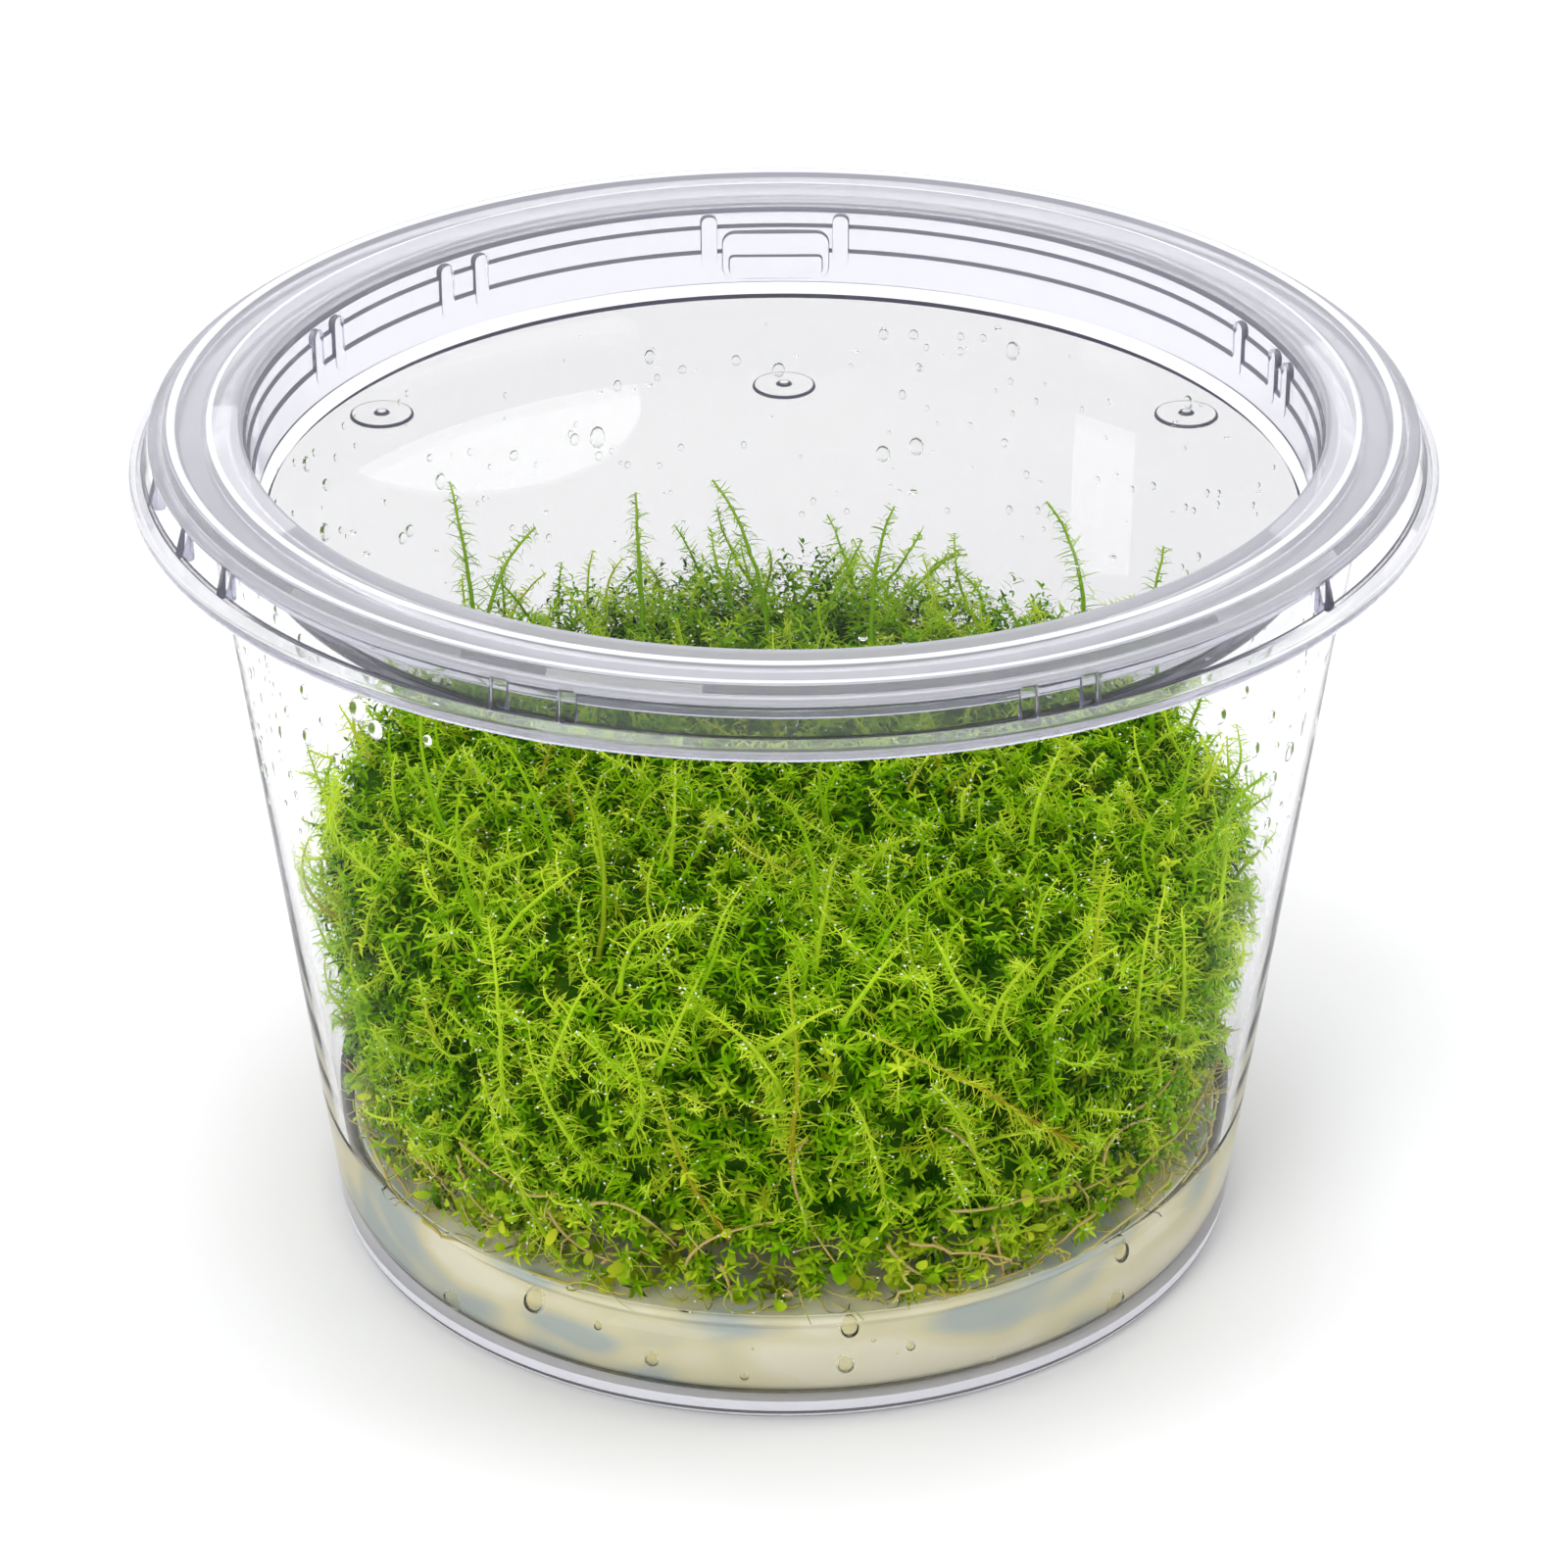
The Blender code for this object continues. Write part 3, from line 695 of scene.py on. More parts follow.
class Foliage:
    """Gathers leaves and stems as arrays of points, triangles and two values a point:
    shade, from dark to bright, and age, from green to straw."""

    def __init__(self):
        self.points = []
        self.triangles = []
        self.shade = []
        self.age = []
        self.count = 0

    def add(self, points, triangles, shade, age):
        self.points.append(points)
        self.triangles.append(triangles + self.count)
        self.shade.append(shade)
        self.age.append(age)
        self.count += len(points)

    def make(self, name, material):
        points = keep_in_cup(np.concatenate(self.points))
        triangles = np.concatenate(self.triangles)
        mesh = bpy.data.meshes.new(name)
        mesh.vertices.add(len(points))
        mesh.vertices.foreach_set("co", points.astype(np.float32).ravel())
        mesh.loops.add(3 * len(triangles))
        mesh.loops.foreach_set("vertex_index", triangles.astype(np.int32).ravel())
        mesh.polygons.add(len(triangles))
        mesh.polygons.foreach_set("loop_start", np.arange(0, 3 * len(triangles), 3, dtype=np.int32))
        mesh.polygons.foreach_set("use_smooth", np.ones(len(triangles), dtype=bool))
        for label, values in (("shade", self.shade), ("age", self.age)):
            attribute = mesh.attributes.new(label, "FLOAT", "POINT")
            attribute.data.foreach_set("value", np.concatenate(values).astype(np.float32))
        mesh.update(calc_edges=True)
        mesh.materials.append(material)
        return new_object(name, mesh)


# Sections of a leaf: how far along it they are, and how wide beside the widest
POINTED_LEAF = ((0.0, 0.4), (0.3, 1.0), (0.65, 0.7), (1.0, 0.0))
HAIR_LEAF = ((0.0, 1.0), (0.35, 0.9), (0.7, 0.7), (1.0, 0.0))
ROUND_LEAF = ((0.0, 0.3), (0.2, 0.8), (0.45, 1.0), (0.75, 0.85), (0.93, 0.45), (1.0, 0.0))


def add_leaves(foliage, sections, roots, directions, faces, lengths, widths, curls, shade, age):
    """Leaves, one for each row: each leaves its root along its direction and curls away
    from its upper face. The last section is the tip, a single point."""
    sides = np.cross(directions, faces)
    safe = np.where(np.abs(curls) < 0.05, 0.05, curls)[:, None]
    rows = []
    for along, wide in sections:
        forward = np.sin(safe * along) / safe
        drop = (1 - np.cos(safe * along)) / safe
        middle = roots + lengths[:, None] * (forward * directions - drop * faces)
        if wide == 0:
            rows.append(middle)
        else:
            turn = safe * along
            cup = 0.18 * wide * widths[:, None] * (np.cos(turn) * faces + np.sin(turn) * directions)
            half = 0.5 * wide * widths[:, None] * sides
            rows.extend([middle - half + cup, middle + half + cup])
    points = np.stack(rows, axis=1)
    count, per_leaf = points.shape[:2]
    pattern = []
    for row in range(len(sections) - 2):
        first = 2 * row
        pattern += [(first, first + 1, first + 3), (first, first + 3, first + 2)]
    last = 2 * (len(sections) - 2)
    pattern.append((last, last + 1, last + 2))
    starts = (np.arange(count) * per_leaf)[:, None, None]
    triangles = (np.array(pattern)[None] + starts).reshape(-1, 3)
    lift = np.repeat([s[0] for s in sections[:-1]], 2).tolist() + [1.0]
    shades = shade[:, None] + 0.25 * (np.array(lift)[None] - 0.5)
    foliage.add(points.reshape(-1, 3), triangles, shades.ravel(), np.repeat(age, per_leaf))


def mesh_points(mesh):
    flat = np.empty(3 * len(mesh.vertices), dtype=np.float32)
    mesh.vertices.foreach_get("co", flat)
    return flat.reshape(-1, 3).astype(float)


def surface_points(mesh, count, spacing):
    """Points spread evenly over a mesh, with its smooth normals there."""
    mesh.calc_loop_triangles()
    corners = np.array([t.vertices[:] for t in mesh.loop_triangles])
    places = mesh_points(mesh)
    normals = np.array([v.normal[:] for v in mesh.vertices])
    a, b, c = (places[corners[:, i]] for i in range(3))
    area = np.linalg.norm(np.cross(b - a, c - a), axis=1)
    chosen = rng.choice(len(corners), size=count, p=area / area.sum())
    u, v = rng.random((2, count))
    fold = u + v > 1
    u = np.where(fold, 1 - u, u)[:, None]
    v = np.where(fold, 1 - v, v)[:, None]
    points = a[chosen] * (1 - u - v) + b[chosen] * u + c[chosen] * v
    face_normals = [normals[corners[chosen, i]] for i in range(3)]
    directions = unit(face_normals[0] * (1 - u - v) + face_normals[1] * u + face_normals[2] * v)
    tree = KDTree(count)
    for index, point in enumerate(points):
        tree.insert(Vector(point), index)
    tree.balance()
    kept = np.ones(count, dtype=bool)
    for index, point in enumerate(points):
        if kept[index]:
            for _, other, _ in tree.find_range(Vector(point), spacing):
                if other != index:
                    kept[other] = False
    exposed = kept & (directions[:, 2] > -0.5)
    return points[exposed], directions[exposed]


def moss_material(name, tones, straw, gloss, glow_share):
    """Wet moss, one cell thick: a saturated green that brightens toward each tip, partly by
    the painted shade that its shade value carries deep in the clump, and turns straw with
    age; it lets light through and carries a film of water."""
    material, tree, output = empty_material(name)
    shade = add_node(tree, "Attribute", attribute_name="shade")
    age = add_node(tree, "Attribute", attribute_name="age")
    greens = add_node(tree, "ValToRGB", {"Fac": shade.outputs["Fac"]})
    ramp = greens.color_ramp
    ramp.elements[0].color = linear(tones[0])
    ramp.elements[1].color = linear(tones[2])
    ramp.elements.new(0.5).color = linear(tones[1])
    aged = add_node(tree, "Mix", {
        "Factor": age.outputs["Fac"],
        "A": greens.outputs["Color"],
        "B": linear(straw),
    }, data_type="RGBA")
    leaf = add_node(tree, "BsdfPrincipled", {
        "Base Color": aged.outputs["Result"],
        "Roughness": gloss,
        "IOR": 1.4,
        "Specular IOR Level": 0.05,
        "Specular Tint": (0.75, 1.0, 0.2, 1),
    })
    glow = add_node(tree, "BsdfTranslucent", {"Color": aged.outputs["Result"]})
    thin = add_node(tree, "MixShader", {
        "Fac": glow_share, 1: leaf.outputs["BSDF"], 2: glow.outputs["BSDF"],
    })
    tree.links.new(thin.outputs["Shader"], output.inputs["Surface"])
    return material


# Small leaves run from deep green, where painted shade darkens them in the gaps, to lime at
# the tips
leaf_green = moss_material("wet_moss_leaf", ("#1A4A00", "#85C304", "#EAFB3C"), "#D8C83A", 0.2, 0.42)


def clump_point(direction):
    """Map a direction from the clump's middle to its lumpy surface: a drum with rounded edges
    that widens upward as the cup does."""
    middle = (CLUMP_TOP + CLUMP_FOOT) / 2
    height = middle + (CLUMP_TOP - CLUMP_FOOT) / 2 * direction.z
    share = (height - CLUMP_FOOT) / (CLUMP_TOP - CLUMP_FOOT)
    drum_radius = CLUMP_FOOT_RADIUS + (CLUMP_TOP_RADIUS - CLUMP_FOOT_RADIUS) * share
    radius = drum_radius * math.sqrt(max(0.0, 1.0 - abs(direction.z) ** CLUMP_EDGE_POWER))
    flat = Vector((direction.x, direction.y, 0.0)).normalized()
    point = flat * radius + Vector((0, 0, height))
    lump = noise.noise(point / LUMP_SIZE) * LUMP_HEIGHT
    point.z += lump * 2 * max(0.0, direction.z)
    point -= flat * (LUMP_HEIGHT * 0.5 + lump) * 0.6 * radius / drum_radius
    point.z = max(point.z, CLUMP_FOOT)
    return point


clump_form = bmesh.new()
bmesh.ops.create_icosphere(clump_form, subdivisions=5, radius=1.0)
for vert in clump_form.verts:
    vert.co = clump_point(vert.co.normalized())
clump_form.normal_update()
clump_mesh = bpy.data.meshes.new("moss_old_growth_painted_shade")
clump_form.to_mesh(clump_mesh)
clump_form.free()
clump_points, clump_normals = surface_points(clump_mesh, CLUMP_POINTS, SHOOT_SPACING)
clump_surface = BVHTree.FromPolygons(
    [v.co[:] for v in clump_mesh.vertices], [p.vertices[:] for p in clump_mesh.polygons]
)


def add_short_shoots(foliage, places, outward):
    """Short shoots whose tips come a little above the given places, each a star of leaves
    at its end and a spiral of them below it."""
    count = len(places)
    out_pull, up_pull, loose = SHOOT_LEAN
    axes = unit(out_pull * outward + up_pull * UP + loose * unit(rng.normal(size=(count, 3))))
    reach = rng.uniform(*SHOOT_LENGTH, size=count)
    rise = rng.uniform(-TIP_SCATTER, TIP_SCATTER, size=count) * MM
    tips = places + outward * rise[:, None]
    at_back = np.clip((places[:, 1] - BACK_ZONE[0]) / BACK_ZONE[1], 0, 1) * (outward[:, 2] > 0.5)
    lift = BACK_RISE * at_back * rng.random(count) ** 1.5
    tips = tips + lift[:, None] * unit(UP + 0.35 * axes)
    reach = reach + 0.7 * lift
    feet = tips - axes * reach[:, None]
    first, second = crosswise(axes)
    low = np.clip((GEL_TOP + LOW_BAND - places[:, 2]) / LOW_BAND, 0, 1)
    tone = rng.normal(*SHOOT_TONE, size=count) + FOOT_PAINTED_LIGHT * low
    straw = np.clip(rng.normal(*SHOOT_STRAW, size=count) + FOOT_STRAW * low, 0, 0.6)
    for leaf in range(LEAVES_PER_SHOOT):
        share = ((leaf + rng.random(count)) / LEAVES_PER_SHOOT) ** 0.7
        turn = leaf * GOLDEN_ANGLE + rng.normal(0, 0.25, size=count)
        around = np.cos(turn)[:, None] * first + np.sin(turn)[:, None] * second
        spread = np.radians(LEAF_SPREAD[0] - LEAF_SPREAD[1] * share) + rng.normal(0, 0.16, size=count)
        directions = np.cos(spread)[:, None] * axes + np.sin(spread)[:, None] * around
        faces = np.sin(spread)[:, None] * axes - np.cos(spread)[:, None] * around
        lengths = LEAF_LENGTH * rng.uniform(0.75, 1.2, size=count) * (1.05 - 0.4 * share ** 4)
        widths = lengths * LEAF_WIDTH_SHARE * rng.uniform(0.8, 1.3, size=count)
        curls = rng.normal(*LEAF_CURL, size=count)
        roots = feet + axes * (reach * share)[:, None]
        # Leaves low on a shoot lie deep in the clump and are darkened with painted shade
        shade = tone - BASE_SHADE * (1 - share) + rng.normal(0.02, 0.09, size=count)
        add_leaves(foliage, POINTED_LEAF, roots, directions, faces, lengths, widths, curls, shade, straw)


# More shoots lie low round the foot, down to the gel
foot_turns = rng.uniform(0, 2 * math.pi, size=FOOT_SHOOTS)
foot_heights = rng.uniform(GEL_TOP + 0.3 * MM, GEL_TOP + 4.5 * MM, size=FOOT_SHOOTS)
foot_outward = np.stack([np.cos(foot_turns), np.sin(foot_turns), np.full(FOOT_SHOOTS, 0.1)], axis=1)
foot_out = CLUMP_FOOT_RADIUS - rng.uniform(0, FOOT_SHOOT_DEPTH, size=FOOT_SHOOTS) * MM
foot_places = foot_outward * foot_out[:, None]
foot_places[:, 2] = foot_heights
clump_points = np.concatenate([clump_points, foot_places])
clump_normals = np.concatenate([clump_normals, unit(foot_outward)])
# The clump is made as five meshes: its crown, and a quarter of its side each
quarter = np.floor(np.arctan2(clump_points[:, 1], clump_points[:, 0]) / (math.pi / 2)).astype(int) % 4
on_top = clump_normals[:, 2] > 0.75
moss_pieces = []
for number in range(5):
    chosen = on_top if number == 4 else (quarter == number) & ~on_top
    growth = Foliage()
    add_short_shoots(growth, clump_points[chosen], clump_normals[chosen])
    label = "moss_crown" if number == 4 else "moss_side_%d" % (number + 1)
    moss_pieces.append(growth.make(label, leaf_green))

# The old growth is a dark sheet speckled in dark green: painted shade that fills the gaps
# between the shoots
shaded_old_moss, tree, output = empty_material("old_moss_in_shade")
speckle = add_node(tree, "TexNoise", {"Scale": 1 / (1.4 * MM), "Detail": 3.0})
tones = add_node(tree, "ValToRGB", {"Fac": speckle.outputs["Fac"]})
tones.color_ramp.elements[0].color = linear("#183501")
tones.color_ramp.elements[1].color = linear("#356203")
shadowed = add_node(tree, "BsdfPrincipled", {
    "Base Color": tones.outputs["Color"], "Roughness": 0.7, "Specular IOR Level": 0.05,
})
tree.links.new(shadowed.outputs["BSDF"], output.inputs["Surface"])
core_mesh = clump_mesh.copy()
outward = [vert.normal.copy() for vert in core_mesh.vertices]
for vert, normal in zip(core_mesh.vertices, outward):
    vert.co -= normal * CORE_DEPTH
core_mesh.materials.clear()
core_mesh.materials.append(shaded_old_moss)
core_mesh.shade_smooth()
shaded_old_growth = new_object("moss_old_growth_painted_shade", core_mesh)
moss_pieces.append(shaded_old_growth)

# The feathered shoots. Finer, paler stems that push out through the clump, some up to a
# third of its height long: each carries two combs of hair-fine leaves, curled back toward
# its foot. Where the photograph shows one, it lies along the same pixels.
STEM_RADIUS = 0.23 * MM
HAIR_SPACING = 0.23 * MM
HAIR_LENGTH = 2.1 * MM
HAIR_WIDTH = 0.10 * MM
# Mean and spread of how far hairs open, in degrees, and of their curl
HAIR_OPENING = (66, 12)
HAIR_CURL = (1.6, 0.7)
HAIR_TWIST = 0.6
HAIR_TILT = 0.9
ROOTED_DEPTH = 2.0 * MM
YOUNG_POINTS = 5000
YOUNG_SHOOT_SPACING = 2.7 * MM
YOUNG_SHOOT_LENGTH = (3.0, 7.0)
YOUNG_TONE = (0.42, 0.13)
# Pixels of a stem's foot, bend and tip, how far its tip stands toward the camera from the
# clump's surface, and how far its foot has turned straw
STEMS_SEEN = {
    "low_middle": ((806, 1192), (811, 1100), (804, 985), 3.0, 0.75),
    "long_middle": ((672, 1095), (688, 1050), (718, 988), 3.0, 0.1),
    "right_front": ((858, 1047), (885, 1010), (925, 955), 4.0, 0.0),
    "right_arch": ((1006, 1060), (1022, 1018), (1055, 978), 3.5, 0.1),
    "tall_left": ((513, 1135), (509, 1030), (498, 935), 4.0, 0.0),
    "middle_arch": ((832, 990), (841, 925), (855, 868), 5.0, 0.1),
    "front_arch": ((632, 1015), (652, 955), (708, 941), 6.0, 0.05),
    "orange": ((1104, 1172), (1000, 1112), (874, 1051), 3.0, 0.95),
    "left_cross": ((555, 1112), (572, 1055), (602, 1000), 3.0, 0.0),
    "left_sweep": ((512, 962), (545, 922), (592, 885), 5.0, 0.0),
    "left_low_sweep": ((645, 1200), (582, 1165), (538, 1062), 2.0, 0.0),
    "left_foot": ((577, 1288), (522, 1195), (489, 1080), 1.5, 0.05),
    "brown": ((745, 1262), (700, 1198), (671, 1110), 1.5, 0.85),
    "left_lean": ((684, 1114), (640, 1096), (588, 1052), 3.0, 0.0),
    "middle_cross": ((800, 1130), (775, 1074), (715, 1027), 3.0, 0.15),
    "middle_twig": ((768, 1080), (808, 1050), (860, 1025), 4.0, 0.1),
    "right_lean": ((1003, 1037), (976, 1000), (948, 947), 5.0, 0.0),
    "small_arch": ((1070, 1055), (1088, 1015), (1122, 999), 5.0, 0.1),
    "right_dark": ((1113, 1003), (1119, 945), (1131, 878), 6.0, 0.35),
    "right_upright": ((1200, 1068), (1207, 1000), (1205, 926), 3.0, 0.1),
    "right_upright_twin": ((1160, 1058), (1161, 1005), (1173, 940), 3.0, 0.1),
    "left_wall": ((404, 910), (374, 884), (348, 860), 2.5, 0.1),
    "left_fork_right": ((494, 892), (520, 877), (549, 867), 5.0, 0.0),
    "left_fork_left": ((498, 892), (460, 866), (416, 843), 5.0, 0.1),
    "left_yellow": ((446, 1066), (438, 1036), (429, 998), 2.5, 0.4),
    "upper_left": ((684, 884), (687, 832), (689, 777), 7.0, 0.05),
    "upper_right": ((1052, 862), (1060, 812), (1082, 764), 7.0, 0.0),
    "right_short": ((890, 884), (905, 866), (927, 854), 5.0, 0.0),
    "right_edge": ((1240, 960), (1246, 905), (1252, 850), 3.0, 0.0),
    "left_edge": ((352, 905), (344, 850), (340, 790), 3.0, 0.0),
    "lower_middle": ((905, 1235), (890, 1170), (868, 1120), 2.0, 0.1),
    "lower_right": ((1010, 1215), (985, 1150), (950, 1105), 2.0, 0.1),
    "lower_left": ((640, 1160), (655, 1120), (640, 1060), 2.5, 0.0),
}


def add_tube(foliage, path, radii, sides, shade, age):
    """A stem or runner: a tube along a path of points that ends in a closed tip."""
    steps = len(path)
    forward = unit(np.gradient(path, axis=0))
    first, second = crosswise(forward)
    for index in range(1, steps):
        lined = first[index - 1] - forward[index] * np.dot(first[index - 1], forward[index])
        first[index] = lined / max(np.linalg.norm(lined), 1e-9)
        second[index] = np.cross(forward[index], first[index])
    turn = np.linspace(0, 2 * math.pi, sides, endpoint=False)
    ring = np.cos(turn)[None, :, None] * first[:, None] + np.sin(turn)[None, :, None] * second[:, None]
    points = (path[:, None] + ring * radii[:, None, None]).reshape(-1, 3)
    near = np.arange(sides)
    beside = (near + 1) % sides
    band = np.concatenate([
        np.stack([near, beside, beside + sides], axis=1),
        np.stack([near, beside + sides, near + sides], axis=1),
    ])
    walls = (band[None] + sides * np.arange(steps - 1)[:, None, None]).reshape(-1, 3)
    end = (steps - 1) * sides
    tip = np.array([(end, end + side, end + side + 1) for side in range(1, sides - 1)])
    foliage.add(points, np.concatenate([walls, tip]), np.repeat(shade, sides), np.repeat(age, sides))


def bent_path(foot, bend, tip, points=14):
    """A smooth path from foot to tip that passes through bend."""
    share = np.linspace(0, 1, points)[:, None]
    pull = 2 * bend - 0.5 * (foot + tip)
    return (1 - share) ** 2 * foot + 2 * share * (1 - share) * pull + share ** 2 * tip


def add_feather(foliage, path, thickness=1.0, hair=1.0, straw=0.0, tone=0.5):
    """One feathered shoot: its stem along a path, and its combs of hair leaves. straw is how
    far its foot has aged."""
    strides = np.linalg.norm(np.diff(path, axis=0), axis=1)
    travelled = np.concatenate([[0], np.cumsum(strides)])
    total = travelled[-1]
    steps = max(7, int(total / (1.1 * MM)))
    share = np.linspace(0, 1, steps)
    stem = np.stack([np.interp(share * total, travelled, path[:, k]) for k in range(3)], axis=1)
    wander = np.cumsum(rng.normal(0, 0.05 * MM, size=(steps, 3)), axis=0)
    stem = stem + wander - share[:, None] * wander[-1]
    radii = STEM_RADIUS * thickness * (1.1 - 0.75 * share)
    aging = straw * (1 - 0.75 * share)
    add_tube(foliage, stem, radii, 5, tone + 0.1 + 0.3 * share, aging)
    count = int(total / HAIR_SPACING)
    spots = np.tile(np.linspace(0.08, 0.99, count), 2) + rng.normal(0, 0.15 / count, size=2 * count)
    signs = np.repeat([-1.0, 1.0], count)[:, None]
    forward = unit(np.gradient(stem, axis=0))
    plane = unit(np.cross(forward, unit(rng.normal(size=3) * 0.7 + UP)))
    here, ahead, across = (
        np.stack([np.interp(spots, share, line[:, k]) for k in range(3)], axis=1)
        for line in (stem, forward, plane)
    )
    ahead = unit(ahead)
    across = unit(across - ahead * np.sum(across * ahead, axis=1, keepdims=True))
    above = np.cross(ahead, across)
    twist = rng.normal(0, HAIR_TWIST, size=2 * count)[:, None]
    side = signs * across * np.cos(twist) + above * np.sin(twist)
    opened = np.radians(rng.normal(*HAIR_OPENING, size=2 * count))[:, None]
    directions = np.cos(opened) * ahead + np.sin(opened) * side
    back = np.sin(opened) * ahead - np.cos(opened) * side
    off_plane = np.cross(directions, back)
    tilt = rng.normal(0, HAIR_TILT, size=2 * count)[:, None]
    faces = np.cos(tilt) * back + np.sin(tilt) * off_plane
    lengths = HAIR_LENGTH * hair * rng.uniform(0.7, 1.15, size=2 * count) * (1.1 - 0.7 * spots ** 3)
    widths = HAIR_WIDTH * rng.uniform(0.7, 1.3, size=2 * count)
    curls = rng.normal(*HAIR_CURL, size=2 * count)
    shade = tone + 0.3 + rng.normal(0, 0.1, size=2 * count)
    hair_age = straw * 0.35 * (1 - spots)
    add_leaves(foliage, HAIR_LEAF, here, directions, faces, lengths, widths, curls, shade, hair_age)


def seen_on_clump(pixel, stand):
    """The point of the clump's surface that shows at a pixel, moved toward the camera."""
    way = photo_ray(pixel)
    hit = clump_surface.ray_cast(viewer.location, way)[0]
    if hit is None:
        near = seen_on_wall(pixel, 2.5 * MM)
        return np.array(near)
    return np.array(hit - way * stand)


# Young stems and their hairs are pale lime, and turn straw brown at the foot
thread_green = moss_material("pale_moss_thread", ("#589802", "#A8DA0A", "#F0FF4C"), "#B87F26", 0.2, 0.45)
feathers = Foliage()
for foot, bend, tip, stand, straw in STEMS_SEEN.values():
    path = bent_path(
        seen_on_clump(foot, -0.3 * MM), seen_on_clump(bend, 0.6 * stand * MM), seen_on_clump(tip, stand * MM)
    )
    add_feather(feathers, path, straw=straw)
moss_pieces.append(feathers.make("moss_feathers_in_front", thread_green))

young_points, young_normals = surface_points(clump_mesh, YOUNG_POINTS, YOUNG_SHOOT_SPACING)
young = Foliage()
for place, normal in zip(young_points, young_normals):
    level = math.hypot(normal[0], normal[1])
    lean = unit(rng.normal(size=3))
    axis = unit((0.8 - 0.45 * level) * normal + (0.3 + 0.5 * level) * UP + 0.85 * lean)
    length = rng.uniform(*YOUNG_SHOOT_LENGTH) * MM * (1 + 0.5 * max(0.0, place[1] / CLUMP_TOP_RADIUS))
    root = place - axis * ROOTED_DEPTH * 0.6
    tip = root + axis * length
    bend = (root + tip) / 2 + unit(np.cross(axis, lean)) * length * rng.uniform(0.0, 0.3)
    straw = 0.7 * rng.random() ** 5
    tone = rng.normal(*YOUNG_TONE)
    add_feather(young, bent_path(root, bend, tip, points=8), 0.75, 0.78, straw, tone)
moss_pieces.append(young.make("moss_young_feathers", thread_green))

# The taller shoots, which stand clear of the clump. They are the same pale stems with
# combs of hair leaves, and each one stands where its solid stands. In millimetres: where its
# foot is, seen from above, its tip, how far it bows upward, and how far it has turned straw.
SHOOT_SWAY = 1.3 * MM
SHOOT_THICKNESS = 1.1
SHOOT_HAIR = 1.05
SHOOT_SHADE = 0.35
SHOOT_ROUTES = {
    "shoot_back_left": ((-24.5, 15.0), (-27.5, 23.7, 50.7), 1.0, 0.0),
    "shoot_back_left_arch": ((-25.5, 11.5), (-20.3, 19.0, 48.8), 2.5, 0.0),
    "shoot_back_mid_left": ((-11.5, 17.0), (-12.2, 22.5, 50.3), 0.5, 0.0),
    "shoot_back_middle": ((-1.0, 17.0), (-5.9, 25.5, 50.0), 1.5, 0.0),
    "shoot_back_mid_right": ((7.5, 16.0), (9.1, 23.2, 48.7), 1.0, 0.0),
    "shoot_back_right": ((24.6, 16.0), (21.6, 23.3, 49.1), 1.5, 0.0),
    "shoot_right_edge": ((30.0, 8.0), (30.8, 16.0, 48.6), 1.0, 0.0),
    "shoot_left_front": ((-14.0, -25.0), (-16.0, -16.5, 46.0), 1.0, 0.5),
    "shoot_left_tall": ((-21.5, -24.0), (-24.4, -19.5, 45.5), 1.0, 0.0),
    "shoot_left_lean": ((-17.5, -15.0), (-21.8, -10.0, 45.0), 1.0, 0.0),
    "shoot_far_left_front": ((-25.0, -12.0), (-28.0, -5.0, 45.5), 1.0, 0.0),
    "shoot_middle_front": ((5.5, -15.0), (3.0, -14.0, 45.8), 1.0, 0.1),
    "shoot_middle_arch": ((2.5, -27.0), (-1.1, -18.0, 44.5), 2.5, 0.1),
    "shoot_middle_long": ((-7.5, -32.5), (-3.7, -32.1, 43.0), 0.5, 0.0),
    "shoot_middle_low": ((0.6, -32.5), (0.0, -35.7, 43.0), 0.5, 0.2),
    "shoot_right_front": ((5.0, -32.0), (14.1, -26.4, 43.0), 1.5, 0.0),
    "shoot_right_arch": ((15.8, -31.5), (22.5, -30.2, 40.2), 1.5, 0.2),
    "shoot_far_right_front": ((30.0, -9.6), (31.3, -11.0, 45.0), 1.0, 0.0),
    "shoot_far_right_edge": ((32.5, -12.5), (36.7, -14.0, 44.2), 0.5, 0.0),
}
for name, (foot, tip, bow, straw) in SHOOT_ROUTES.items():
    above = Vector((foot[0] * MM, foot[1] * MM, LIP_BOTTOM))
    ground = np.array(clump_surface.ray_cast(above, Vector((0, 0, -1)))[0])
    root = ground - ROOTED_DEPTH * UP
    end = np.array(tip) * MM
    sway = unit(np.cross(end - root, rng.normal(size=3))) * SHOOT_SWAY
    growth = Foliage()
    route = bent_path(root, (root + end) / 2 + bow * MM * UP + sway, end)
    add_feather(growth, route, SHOOT_THICKNESS, SHOOT_HAIR, straw, SHOOT_SHADE)
    piece = growth.make("moss_" + name, leaf_green)
    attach(piece, "root")
    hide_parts(name)

# The foot of the clump. Bare runners in straw and pale brown creep over each other and down
# onto the gel, with hair-fine rhizoids, and the oldest leaves there are round and broad.
RUNNERS = 60
LOOSE_THREADS = 520
RUNNER_RADIUS = 0.13 * MM
THREAD_RADIUS = 0.075 * MM
FOOT_LEAVES = 560
FOOT_BAND = 8.0 * MM
